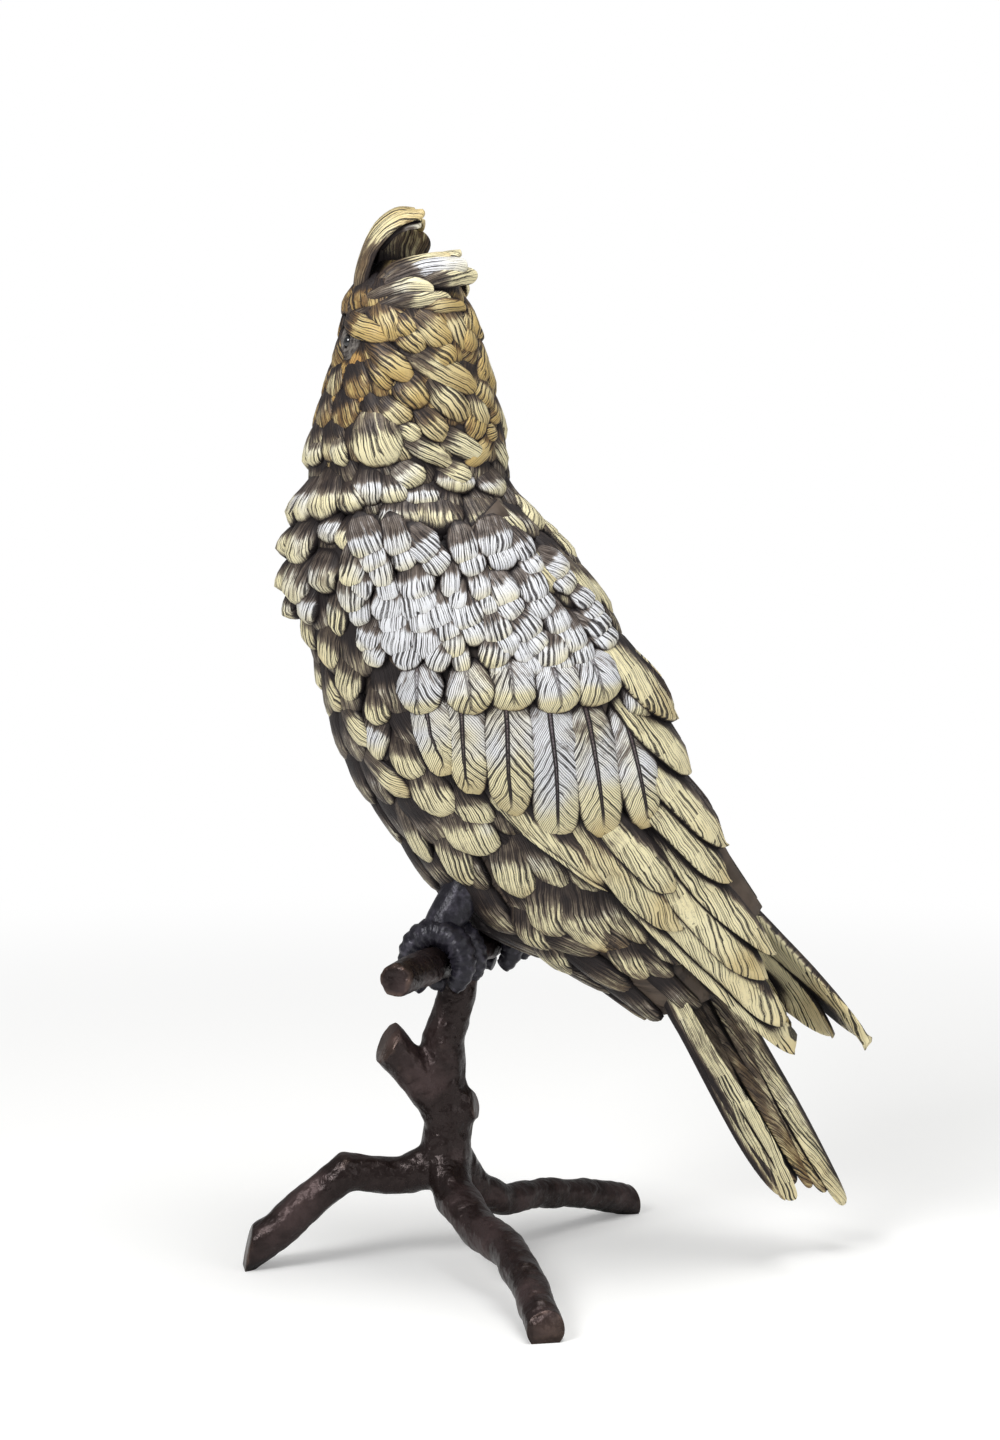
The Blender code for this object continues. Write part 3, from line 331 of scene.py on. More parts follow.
def body_section(d):
    """Blend the body's sections at distance d with a smooth curve through all of them."""
    d = min(max(d, 0.0), MARKS[-1] - JUST_SHORT)
    i = max(j for j, m in enumerate(MARKS) if m <= d)
    k = (d - MARKS[i]) / (MARKS[i + 1] - MARKS[i])
    rows = BODY[max(i - 1, 0)], BODY[i], BODY[i + 1], BODY[min(i + 2, len(BODY) - 1)]
    return [0.5 * (2 * b + (c - a) * k + (2 * a - 5 * b + 4 * c - e) * k * k
                   + (3 * b - a - 3 * c + e) * k ** 3) for a, b, c, e in zip(*rows)]


def on_body(d, angle):
    """A point of the body's surface: d down the body, angle in radians from the chest."""
    fx, fz, bx, bz, half = body_section(d)
    c, s = math.cos(angle), math.sin(angle)
    return Vector(((fx + bx) / 2 + (fx - bx) / 2 * c, half * s, (fz + bz) / 2 + (fz - bz) / 2 * c))


def body_frame(d, angle):
    """Surface point and outward direction of the body."""
    p = on_body(d, angle)
    down = on_body(d + BODY_STEP, angle) - on_body(d - BODY_STEP, angle)
    n = (on_body(d, angle + BODY_TURN) - on_body(d, angle - BODY_TURN)).cross(down).normalized()
    fx, fz, bx, bz, half = body_section(d)
    if n.dot(p - Vector(((fx + bx) / 2, 0, (fz + bz) / 2))) < 0:
        n.negate()
    return p, n


def add_loft(bm, rows):
    """A closed skin over rows of points with equal counts: circles set to the points."""
    count = len(rows[0])
    rings = []
    for i, row in enumerate(rows):
        made = bmesh.ops.create_circle(bm, cap_ends=i in (0, len(rows) - 1), segments=count,
                                       radius=1.0)
        for v, p in zip(made["verts"], row):
            v.co = p
        rings.append({e for v in made["verts"] for e in v.link_edges})
    for a, b in zip(rings, rings[1:]):
        bmesh.ops.bridge_loops(bm, edges=list(a | b))


# The paints: chalk white, cream, ochre and orange, and the darks of the wash that was wiped off
# the crowns, which also give the painted shade in the hollows and under the feathers
WHITE = (0.82, 0.83, 0.86)
CREAM = (0.87, 0.79, 0.50)
OCHRE = (0.60, 0.44, 0.17)
ORANGE = (0.56, 0.27, 0.07)
DUST_AND_SHADE = (0.150, 0.112, 0.085)
RUST = (0.190, 0.105, 0.038)
UMBER = (0.045, 0.030, 0.024)
PLUM = (0.085, 0.050, 0.062)
SOOT_AND_SHADE = (0.014, 0.010, 0.011)
GAP_SHADE_BROWN = (0.075, 0.055, 0.040)
LAYERS = ("tone", "luck", "rim", "quill", "tip", "added_wash_and_shade")
CUT_DEEP = 0.00045      # depth of the chaser's strokes
HOLLOW_SHADE_REACH = 0.0060     # hollows narrower than this get painted shade and hold wash
DOUBLE_SHAFT = 0.068    # centimetres from the middle of a covert's shaft to each line, at the root
SHAFT_CLOSES = 0.056    # how much nearer the lines are at the tip


class Strokes:
    """Cut lines where a running count passes whole numbers. Each line has its own chances."""

    def __init__(self, paint, count, luck, half):
        """near is 0 on a line and 0.5 between two. half tells apart a feather's two sides."""
        self.near = count.math("FRACT").math("PINGPONG", 0.5)
        mark = paint.node("ShaderNodeCombineXYZ", None,
                          {0: count.math("FLOOR"), 1: luck * 97, 2: half})
        chance = paint.node("ShaderNodeTexWhiteNoise", {"noise_dimensions": "3D"},
                            {"Vector": mark}, out="Color")
        split = paint.node("ShaderNodeSeparateColor", None, {0: chance}).socket.node
        self.first, self.second, self.third = (Wire(paint, split.outputs[i]) for i in range(3))


def feather_paint():
    """Cold paint: chalky white to ochre, with the dark wash left in strokes and recesses, and painted shade
    in the hollows, under each next feather and along the edges that lie under neighbours.
    """
    paint = Paint("cold_paint_feathers", Specular_IOR_Level=0.35)
    where = paint.place()
    # Centimetres from the shaft, signed, and from the root
    place = paint.node("ShaderNodeUVMap", {"uv_map": "barbs"})
    across = paint.node("ShaderNodeSeparateXYZ", None, {0: place})
    along = Wire(paint, across.socket.node.outputs[1])
    tone, luck, rim, quill, tip, added_wash_and_shade = (paint.value(name) for name in LAYERS)
    side = across.math("ABSOLUTE")
    cloud = paint.noise(where, 60, 3) - 0.5
    mottle = paint.noise(where, 190, 4, 0.65) - 0.5
    bend = (paint.noise(where, 130, 2) - 0.5) * 1.4

    # Small feathers are scored lengthwise. The coverts have barbs slanting off both sides of a
    # shaft, and the long flight feathers broken strokes.
    barbed = quill.step(0.35, 0.36)
    long = quill.step(0.15, 0.16) * (1 - barbed)
    fan = across * (8.4 - tip * 2.4) + along * ((luck - 0.5) * 5.0 + long * 1.6)
    barbs = along * (quill * 1.2 + 2.2) - side * (6.4 - quill * 1.6)
    part = across.math("SIGN") * barbed + (along * 1.1 + luck * 5).math("FLOOR") * long
    run = fan * (1 - barbed) + barbs * barbed + bend
    cuts = Strokes(paint, run + luck * 9, luck, part)
    begins = cuts.first * 0.42 + 0.20
    ends = cuts.second * 0.62 + 0.48
    alive = tip.step(begins, begins + 0.10) * (1 - tip.step(ends, ends + 0.12))
    alive = alive * (1 - tip.step(0.95, 0.99)) * (1 - long) + cuts.first.step(0.38, 0.50) * long
    broad = (cuts.third * cuts.third * 0.25 + 0.01) * alive * (1 - barbed * quill * 0.3)
    stroke = (1 - cuts.near.step(broad, broad + 0.07)) * alive.step(0.05, 0.3)

    # Finer painted hairs run between the strokes, in patches
    fine = fan * 2.4 * (1 - barbed) + barbs * 3.3 * barbed + bend * 2.2
    hairs = Strokes(paint, fine, luck, part)
    patchy = (hairs.first * 0.5 + paint.noise(where, 230, 2) + barbed * 0.22).step(0.55, 0.82)
    hair = (1 - hairs.near.step(0.06, 0.20)) * patchy * (1 - tip.step(0.88, 0.98) * 0.8)

    # The coverts' shafts are a double line that closes towards the tip
    apart = DOUBLE_SHAFT - tip * SHAFT_CLOSES
    shaft_end = (1 - tip.step(0.82, 0.95)) * barbed * quill.step(0.3, 0.6)
    shaft = (1 - (side - apart).math("ABSOLUTE").step(0.010, 0.030)) * shaft_end
    between = (1 - side.step(apart, apart + 0.012)) * shaft_end

    # Wash and painted shade: painted shadow where the next feather covers this one and along the
    # sides, painted shade in the hollows, and the wash itself; all gone at the tip. Its edge is drawn
    # out along the barbs.
    hollow = 1 - paint.node("ShaderNodeAmbientOcclusion", {"samples": 8},
                            {"Distance": HOLLOW_SHADE_REACH}, out="AO")
    covered = 1 - tip.step(0.42, 0.46 + 0.24 * (luck * 0.9 + 0.4))
    tucked = rim.step(0.30, 0.90) * (1 - tip.step(0.84, 0.97))
    drawn_out = paint.node("ShaderNodeCombineXYZ", None,
                           {0: run * 1.6, 1: along * 1.3, 2: luck * 60})
    streaks = paint.noise(drawn_out, 1.0, 3, 0.6) - 0.5
    wash_and_shade = covered * (1.1 - quill.step(0.1, 0.2) * 0.6) + tucked * (0.75 + long)
    wash_and_shade = wash_and_shade + hollow.step(0.08, 0.40) * 1.5 + added_wash_and_shade + mottle * 1.2 + cloud * 0.6 + streaks * 2.4
    speck = paint.noise(where, 1200, 3).step(0.60, 0.68) * paint.noise(where, 100, 2).step(0.45, 0.65)

    # White to ochre by the feather's tone, warmer at its tip, then the wash and painted shade over it
    warm = tone + tip.step(0.55, 1.0) * (0.25 + barbed * 0.35) + cloud * 0.9 + (luck - 0.5) * 0.35
    warm = warm.over(0.0)
    colour = paint.mix(WHITE, CREAM, warm.step(0.0, 0.40))
    colour = paint.mix(colour, OCHRE, warm.step(0.45, 1.05))
    colour = paint.mix(colour, ORANGE, warm.step(0.95, 1.6) * 0.75)
    brown = paint.mix(DUST_AND_SHADE, RUST, warm.step(0.45, 1.0))
    colour = paint.mix(colour, brown, hair * 0.5)
    colour = paint.mix(colour, brown, wash_and_shade.step(0.45, 1.15) * 0.94)
    colour = paint.mix(colour, UMBER, wash_and_shade.step(0.95, 1.75) * 0.96)
    colour = paint.mix(colour, PLUM, between * 0.85)
    # Near black: the cut strokes and shaft, specks and hairs, the deepest wash, and painted shade in the
    # narrow hollows
    dark = (stroke * 0.95).over(shaft).over(hollow.step(0.26, 0.52))
    dark = dark.over(speck * (0.25 + wash_and_shade.step(0.2, 0.9) * 0.6))
    dark = dark.over(hair * (wash_and_shade.step(0.3, 1.2) * 0.35 + 0.55))
    dark = dark.over(wash_and_shade.step(1.45, 2.3) * 0.93)
    colour = paint.mix(colour, SOOT_AND_SHADE, dark)
    height = 1 - (stroke * 0.9).over(shaft) - hair * 0.35
    paint.drive(Base_Color=colour, Roughness=0.42 + dark * 0.2,
                Normal=paint.bump(height, CUT_DEEP, 1.0))
    return paint.material


feathers = feather_paint()


def body_paint():
    """The same paint on the casting between the feathers: hair strokes under a dark wash, on a dark brown
    base below the face that is painted shade for the gaps, and with more painted shade in the hollows.
    """
    paint = Paint("cold_paint_body", Specular_IOR_Level=0.35, Roughness=0.5)
    where = paint.place()
    uv = paint.node("ShaderNodeUVMap", {"uv_map": "barbs"})
    stretched = paint.node("ShaderNodeVectorMath", {"operation": "MULTIPLY"},
                           {0: uv, 1: (6.0, 1.0, 1.0)})
    streak = paint.noise(stretched, 2.6, 3)
    tone = paint.value("tone")
    hollow = 1 - paint.node("ShaderNodeAmbientOcclusion", {"samples": 8}, {"Distance": 0.007},
                            out="AO").step(0.25, 0.9)
    colour = paint.mix(GAP_SHADE_BROWN, OCHRE, tone)
    colour = paint.mix(colour, DUST_AND_SHADE, paint.noise(where, 150, 3).step(0.35, 0.6) * 0.6)
    colour = paint.mix(colour, SOOT_AND_SHADE, streak.step(0.46, 0.60) * 0.85)
    # Painted shade in the hollows
    colour = paint.mix(colour, DUST_AND_SHADE, hollow * 0.9)
    colour = paint.mix(colour, SOOT_AND_SHADE, hollow.step(0.4, 0.9))
    paint.drive(Base_Color=colour, Normal=paint.bump(1 - streak.step(0.42, 0.64), 0.0005, 0.9))
    return paint.material


def give_layers(bm):
    """The layers that the paint reads on every feathered mesh."""
    bm.loops.layers.uv.new("barbs")
    for name in LAYERS:
        bm.verts.layers.float.new(name)


BODY_RINGS = 90
BODY_SIDES = 64
FACE_FOOT = 0.2280      # below this height no bare casting shows, only gaps: the casting is painted dark brown as their shade
FACE_TONE = 0.9
HEAD_MIDDLE = -0.026    # the head's middle line, which its hair strokes are laid out round
STROKES_ROUND = 2.2     # the body's strokes: how dense round it,
STROKES_DOWN = 40       # and down it
bm = bmesh.new()
rows = []
for i in range(BODY_RINGS + 1):
    d = (MARKS[-1] - 2 * JUST_SHORT) * i / BODY_RINGS
    rows.append([on_body(d, -2 * math.pi * j / BODY_SIDES) for j in range(BODY_SIDES)])
give_layers(bm)
add_loft(bm, rows)
uv_layer = bm.loops.layers.uv["barbs"]
tone_layer = bm.verts.layers.float["tone"]
# Tone 0 below the face gives the casting its dark brown painted shade
for v in bm.verts:
    v[tone_layer] = FACE_TONE if v.co.z > FACE_FOOT else 0.0
for f in bm.faces:
    for loop in f.loops:
        p = loop.vert.co
        round_head = math.atan2(p.y, p.x - HEAD_MIDDLE)
        loop[uv_layer].uv = (round_head * STROKES_ROUND, p.z * STROKES_DOWN)
body = as_object("body_casting", bm)
hand_over(body, "cockatoo", body_paint())


# The feathers are part of the casting. Each is a crowned scale that rises from its root and
# stands off at its tip; the chaser cut its barbs and, on the wing coverts, its shaft.
def ball_mesh(segments, rings):
    """A plain closed ball that feathers are pressed from."""
    bm = bmesh.new()
    bmesh.ops.create_uvsphere(bm, u_segments=segments, v_segments=rings, radius=1.0)
    give_layers(bm)
    mesh = bpy.data.meshes.new("ball")
    bm.to_mesh(mesh)
    bm.free()
    return mesh


BALLS = {}
BATCH = 24              # meshes joined in one step


def press_ball(pile, segments, rings, form, tone, luck, quill=0.0, added_wash_and_shade=0.0):
    """Press a closed ball into a feather.

    form(s, side, up) gives a point for each place of the ball: s runs from root to tip, side and
    up from -1 to 1. It also gives its place across and along in metres, and how near it is to
    the rim.
    """
    if (segments, rings) not in BALLS:
        BALLS[segments, rings] = ball_mesh(segments, rings)
    mesh = BALLS[segments, rings].copy()
    spots = []
    for v in mesh.vertices:
        x, y, z = v.co
        s = 0.5 - 0.5 * z
        flat = math.sqrt(max(0.0, 1 - z * z))
        side, up = (x / flat, y / flat) if flat > 1e-6 else (0.0, 0.0)
        at, off, far, rim = form(s, side, up)
        v.co = at
        spots.append((off * 100, far * 100, rim, s))
    for name, values in (("tone", [tone] * len(spots)), ("luck", [luck] * len(spots)),
                         ("rim", [p[2] for p in spots]), ("quill", [quill] * len(spots)),
                         ("tip", [p[3] for p in spots]), ("added_wash_and_shade", [added_wash_and_shade] * len(spots))):
        mesh.attributes[name].data.foreach_set("value", values)
    mesh.uv_layers["barbs"].data.foreach_set(
        "uv", [c for loop in mesh.loops for c in spots[loop.vertex_index][:2]])
    pile.append(mesh)


def join_pile(name, pile):
    """Join a pile of pressed meshes into one object, with normals outwards."""
    bm = bmesh.new()
    while len(pile) > 1:
        batch = [pile.pop() for _ in range(min(len(pile), BATCH))]
        for mesh in batch:
            bm.from_mesh(mesh)
            bpy.data.meshes.remove(mesh)
        lump = bpy.data.meshes.new("lump")
        bm.to_mesh(lump)
        bm.clear()
        pile.insert(0, lump)
    bm.from_mesh(pile[0])
    return as_object(name, bm)


SCALE_SEGMENTS = 14
SCALE_RINGS = 11
TIP_SHARE = 0.42        # the round end's share of a feather's length
ROOT_SHARE = 0.16       # the share that narrows to the root
ROOT_WIDE = 0.50        # the root's width, as a share of the widest place
BLUNT = 2.3             # 2 gives an oval end, more gives a squarer one
WAVY = 0.06             # how much the sides waver, as a share of the width
ROOT_SUNK = 0.35        # how far the root starts under the surface, per lift
RISE_FAST = 1.15        # the full height is reached at 1 / this of the length
CROWN = 0.45            # roundness of the upper side: 1 gives a ridge, less a flatter crown
SIDES_HIGH = 0.30       # height of the sides, as a share of the crown's
BULGE = 0.12            # how far a feather's middle swells, per width
FREE_FROM = 0.55        # from here on the underside is free of what lies below
FREE_OVER = 0.3
FREE_THICK = 0.22       # thickness of the free part's lower half, per height
DROOP_FROM = 0.82       # the tip bends down from here,
DROOP = 0.6             # by this much, per lift
TILT = 0.9              # small feathers tilt at random by up to half of this, per lift
UNDERSIDE = 0.35        # the free underside of a long feather gets no more painted edge shade than this
SCALE_DEPTH = 0.0034    # how far a feather's root reaches into the casting


def add_feather(pile, surface, root, tip, across, width, lift, depth, tone, quill=0.0,
                size=(SCALE_SEGMENTS, SCALE_RINGS), added_wash_and_shade=0.0, lean=None):
    """One feather as a closed crowned scale on a surface.

    surface(u, v) gives a point and its outward direction, root and tip are (u, v), and across
    is the step in (u, v) for one metre sideways. A lean tilts it, so that one edge lies under
    its neighbour, and gives that edge a band of painted shadow.
    """
    length = (surface(*tip)[0] - surface(*root)[0]).length
    luck = noise.noise(Vector((root[0] * 917, root[1] * 613, tip[0] * 401))) * 0.5 + 0.5
    lift *= 0.8 + 0.4 * luck
    tilt = (luck - 0.5) * TILT if lean is None else lean

    def form(s, side, up):
        if s < 1 - TIP_SHARE:
            half = ROOT_WIDE + (1 - ROOT_WIDE) * math.sin(math.pi / 2 * s / (1 - TIP_SHARE))
        else:
            half = max(0.0, 1 - ((s - 1 + TIP_SHARE) / TIP_SHARE) ** BLUNT) ** (1 / BLUNT)
        half *= min(1.0, s / ROOT_SHARE) ** 0.5
        off = side * half * (1 + WAVY * math.sin(luck * 40 + s * 11)) * width / 2
        crown = max(up, 0.0) ** CROWN
        grown = math.sin(math.pi / 2 * min(1.0, s * RISE_FAST))
        rise = lift * ((1 + ROOT_SUNK) * grown - ROOT_SUNK)
        if up >= 0:
            swell = width * BULGE * crown * (1 - 0.4 * s) * min(1.0, 0.2 + s / 0.3)
            high = rise * (SIDES_HIGH + (1 - SIDES_HIGH) * crown) + swell
        else:
            free = min(1.0, max(0.0, (s - FREE_FROM) / FREE_OVER))
            high = rise * SIDES_HIGH * (1 + up) + up * depth * (1 - free) - up * rise * FREE_THICK * free
        high += side * tilt * lift * s
        if s > DROOP_FROM:
            high -= lift * DROOP * ((s - DROOP_FROM) / (1 - DROOP_FROM)) ** 1.5
        p, n = surface(root[0] + (tip[0] - root[0]) * s + across[0] * off,
                       root[1] + (tip[1] - root[1]) * s + across[1] * off)
        # rim sets the painted shade at the edges: dark at the sides and the root, and with a lean, a band of
        # painted shadow on the edge under the neighbour
        rim = 1 - crown if s > 0.12 else 1.0
        if lean is not None:
            rim = max(rim * 0.8, min(1.0, max(0.0, 0.30 + side * math.copysign(0.9, -lean))))
        if up < 0 and depth < SCALE_DEPTH:
            rim = min(rim, UNDERSIDE)
        return p + n * high, off, s * length, rim

    press_ball(pile, *size, form, tone, luck, quill, added_wash_and_shade)


# Feathers that the photograph shows one by one on the seen side: root and tip, each as distance
# down the body and degrees round it, with the visible width. 0 degrees is the chest.
HEAD_SCALES = [
    (0.017, -37, 0.023, -80, 0.0054), (0.014, -69, 0.024, -84, 0.0045),
    (0.017, -85, 0.023, -96, 0.0045), (0.018, -104, 0.026, -125, 0.0065),
    (0.017, -130, 0.028, -148, 0.0051), (0.025, -69, 0.035, -95, 0.0054),
    (0.029, -66, 0.037, -81, 0.0040), (0.028, -99, 0.038, -146, 0.0065),
    (0.035, -89, 0.042, -101, 0.0065), (0.035, -107, 0.046, -132, 0.0065),
    (0.038, -140, 0.048, -143, 0.0054), (0.041, -77, 0.046, -94, 0.0054),
    (0.043, -102, 0.051, -114, 0.0054), (0.047, -87, 0.050, -101, 0.0043),
    (0.050, -94, 0.059, -119, 0.0051), (0.049, -112, 0.057, -145, 0.0057),
    (0.026, -175, 0.039, -175, 0.0045), (0.039, -175, 0.052, -175, 0.0040),
    (0.050, -154, 0.060, -172, 0.0051), (0.028, -81, 0.035, -88, 0.0034),
    (0.025, -112, 0.030, -128, 0.0057), (0.021, -88, 0.027, -104, 0.0051),
]
NECK_SCALES = [
    (0.047, -72, 0.0585, -77, 0.0098), (0.052, -22, 0.058, -23, 0.0068),
    (0.051, -44, 0.058, -53, 0.0045), (0.050, -2, 0.059, 0, 0.0060),
    (0.059, -87, 0.064, -98, 0.0074), (0.058, -115, 0.064, -129, 0.0057),
]
RUFF_SCALES = [
    (0.065, -3, 0.076, -3, 0.0095), (0.064, -22, 0.075, -22, 0.0085),
    (0.063, -40, 0.074, -39, 0.0090), (0.064, -55, 0.072, -60, 0.0066),
    (0.061, -67, 0.070, -68, 0.0074), (0.062, -81, 0.070, -82, 0.0066),
    (0.065, -95, 0.071, -96, 0.0078), (0.060, -119, 0.067, -118, 0.0086),
    (0.062, -144, 0.069, -147, 0.0094), (0.076, -3, 0.084, -3, 0.0080),
    (0.075, -26, 0.086, -23, 0.0090), (0.073, -45, 0.080, -45, 0.0066),
    (0.075, -63, 0.083, -59, 0.0090), (0.070, -87, 0.078, -84, 0.0094),
    (0.070, -105, 0.079, -98, 0.0090), (0.085, -3, 0.093, -3, 0.0075),
    (0.085, -28, 0.096, -17, 0.0090), (0.084, -44, 0.093, -40, 0.0074),
    (0.093, -5, 0.100, -3, 0.0074), (0.092, -30, 0.101, -24, 0.0070),
]
CHEST_SCALES = [
    (0.098, -25, 0.109, -8, 0.0060), (0.095, -46, 0.105, -40, 0.0059),
    (0.105, -35, 0.114, -25, 0.0074), (0.112, -8, 0.121, -3, 0.0060),
    (0.113, -40, 0.123, -33, 0.0082), (0.118, -19, 0.125, -30, 0.0066),
    (0.122, -51, 0.130, -49, 0.0062), (0.129, -47, 0.139, -40, 0.0074),
    (0.136, -57, 0.146, -55, 0.0086), (0.145, -60, 0.158, -58, 0.0101),
    (0.152, -72, 0.162, -71, 0.0094), (0.159, -64, 0.171, -62, 0.0125),
    (0.165, -52, 0.180, -44, 0.0086), (0.158, -36, 0.172, -30, 0.0070),
    (0.172, -73, 0.186, -67, 0.0090), (0.126, -32, 0.135, -42, 0.0062),
    (0.140, -38, 0.150, -50, 0.0062),
]
TAIL_COVERTS = [
    (0.170, -85, 0.186, -87, 0.0082), (0.176, -96, 0.189, -102, 0.0082),
    (0.183, -81, 0.202, -63, 0.0086), (0.188, -92, 0.211, -75, 0.0101),
    (0.190, -109, 0.211, -99, 0.0101), (0.191, -65, 0.207, -41, 0.0071),
    (0.209, -88, 0.223, -73, 0.0078), (0.202, -54, 0.219, -12, 0.0063),
    (0.208, -112, 0.222, -108, 0.0085),
]
BACK_SCALES = [
    (0.070, -175, 0.079, -156, 0.0074), (0.072, -131, 0.083, -130, 0.0109),
    (0.076, -175, 0.084, -175, 0.0060), (0.085, -115, 0.093, -118, 0.0074),
    (0.080, -175, 0.091, -175, 0.0070), (0.087, -135, 0.099, -136, 0.0105),
    (0.092, -158, 0.107, -158, 0.0090), (0.094, -175, 0.110, -175, 0.0082),
    (0.113, -146, 0.125, -148, 0.0074), (0.118, -172, 0.129, -176, 0.0090),
]
# Each group: its table, lift, tone, wash and painted shade, and whether the unseen side gets the same
# feathers
SCALE_GROUPS = [
    (TAIL_COVERTS, 0.0026, 0.30, 0.70, True),
    (CHEST_SCALES, 0.0030, 0.35, 0.35, True),
    (BACK_SCALES, 0.0030, 0.35, 0.15, True),
    (RUFF_SCALES, 0.0066, 0.15, 0.50, True),
    (NECK_SCALES, 0.0034, 0.30, 0.05, True),
    (HEAD_SCALES, 0.0032, 0.90, 0.38, False),
]
UNDER_SIZE = (12, 9)    # segments and rings of the lower layer's feathers
UNDER_SHARE = 0.75      # how much of a scale lies under the one above it, as a share of what shows
WIDEN = 1.30            # the covered part of a scale is this much wider than what shows
HEAD_BACK = -122.0      # the middle of the back of the turned head, degrees
SIDE_LIFT = 0.0028      # the ruff's feathers stand out no more than this at the bird's sides
PALE_FROM = 0.030       # below this the head's feathers turn from ochre to cream
PALE_RATE = 20.0        # by this much tone a metre

# A lower layer of feathers fills in between them: root and tip down the body, first and last
# angle, how many, width, lift, sweep away from the face in degrees, tone
BODY_ROWS = [
    (0.003, 0.014, -165, 195, 10, 0.0110, 0.0012, 20, 0.85),
    (0.010, 0.022, -150, 205, 12, 0.0110, 0.0012, 22, 0.85),
    (0.018, 0.030, -165, 195, 13, 0.0105, 0.0012, 22, 0.80),
    (0.026, 0.039, -150, 205, 13, 0.0110, 0.0012, 20, 0.75),
    (0.034, 0.048, -165, 195, 14, 0.0105, 0.0012, 16, 0.70),
    (0.042, 0.057, -178, 160, 14, 0.0110, 0.0014, 12, 0.50),
    (0.050, 0.065, -165, 195, 15, 0.0105, 0.0014, 8, 0.25),
    (0.058, 0.073, -178, 160, 15, 0.0105, 0.0016, 4, 0.18),
    (0.067, 0.082, -172, 172, 16, 0.0110, 0.0018, 0, 0.15),
    (0.076, 0.093, -178, 160, 16, 0.0115, 0.0018, 0, 0.15),
    (0.086, 0.104, -172, 172, 15, 0.0120, 0.0018, 0, 0.15),
    (0.097, 0.116, -178, 165, 16, 0.0125, 0.0018, 0, 0.20),
    (0.108, 0.128, -172, 172, 15, 0.0125, 0.0016, 0, 0.25),
    (0.120, 0.140, -60, 60, 9, 0.0110, 0.0014, 0, 0.20),
    (0.132, 0.153, -66, 66, 9, 0.0115, 0.0014, 0, 0.20),
    (0.146, 0.167, -84, 84, 10, 0.0125, 0.0016, 0, 0.25),
    (0.160, 0.182, -90, 90, 10, 0.0125, 0.0018, 0, 0.30),
    (0.174, 0.197, -112, 112, 11, 0.0125, 0.0018, 0, 0.30),
    (0.188, 0.212, -120, 120, 9, 0.0125, 0.0020, 0, 0.30),
    (0.202, 0.226, -130, 130, 8, 0.0115, 0.0020, 0, 0.30),
    (0.214, 0.240, -130, 130, 7, 0.0105, 0.0020, 0, 0.30),
]
JOG = 0.0016            # uneven ends of neighbouring feathers, drawn from smooth noise,
JOG_ROW = 3.1           # which is read this far apart from row to row
JOG_PLACE = 1.7         # and this far apart from feather to feather
WANDER = 14             # how far the lower layer's feathers turn at random, degrees
PLUMP = 0.35            # and how much their widths vary
UNDER_WASH_AND_SHADE = (0.85, 1.1)    # the lower layer, seen in the gaps, gets the most wash and painted shade: on the head, below it
FACE_LOW = 0.048        # the bare face ends this far down,
FACE_HALF = 30.0        # and reaches this far to each side, degrees


# Where the eyes lie: distance down the body, and degrees to each side of the face. The skin round
# them is bare.
EYE_D = 0.0225
EYE_TURN = 92.0
EYE_CLEAR = 0.0046


def covers_eye(root, tip):
    """Whether a feather's free half would lie over an eye."""
    for turn in (-EYE_TURN, EYE_TURN):
        eye = on_body(EYE_D, math.radians(FACE_TURN + turn))
        for s in (0.45, 0.6, 0.8, 1.0):
            d, deg = (a + (b - a) * s for a, b in zip(root, tip))
            at = on_body(d, math.radians(deg))
            if (at - eye).length < EYE_CLEAR:
                return True
    return False


def ring_radius(d):
    """Mean radius of the body's section at distance d."""
    fx, fz, bx, bz, half = body_section(d)
    return (math.hypot(fx - bx, fz - bz) / 2 + half) / 2


def add_scale(pile, root, tip, width, lift, tone, size=(SCALE_SEGMENTS, SCALE_RINGS),
              added_wash_and_shade=0.0):
    """One body feather between two places given as (distance, degrees)."""
    if covers_eye(root, tip):
        return
    radius = ring_radius(root[0])
    a = Vector((root[0], math.radians(root[1]) * radius))
    b = Vector((tip[0], math.radians(tip[1]) * radius))
    go = (b - a).normalized()
    across = (-go.y, go.x / radius)
    add_feather(pile, body_frame, (a.x, a.y / radius), (b.x, b.y / radius), across, width, lift,
                SCALE_DEPTH, tone, size=size, added_wash_and_shade=added_wash_and_shade)


pile = []
for row, (d0, d1, from_deg, to_deg, count, width, lift, sweep, tone) in enumerate(BODY_ROWS):
    for k in range(count):
        deg = from_deg + (to_deg - from_deg) * k / (count - 1 if to_deg - from_deg < 300 else count)
        away = (deg - FACE_TURN + 180) % 360 - 180
        if d0 < FACE_LOW and abs(away) < FACE_HALF:
            continue
        jog = JOG * noise.noise(Vector((row * JOG_ROW, k * JOG_PLACE, 0.5)))
        turn = math.copysign(sweep, away) * min(1.0, (180 - abs(away)) / 40)
        wander = WANDER * noise.noise(Vector((row * 2.3, k * 1.3, 4.5)))
        plump = 1 + PLUMP * noise.noise(Vector((row * 1.9, k * 2.9, 8.5)))
        add_scale(pile, (d0, deg - wander / 2), (d1 + jog, deg + turn + wander), width * plump,
                  lift, tone, UNDER_SIZE, UNDER_WASH_AND_SHADE[d0 > FACE_LOW])
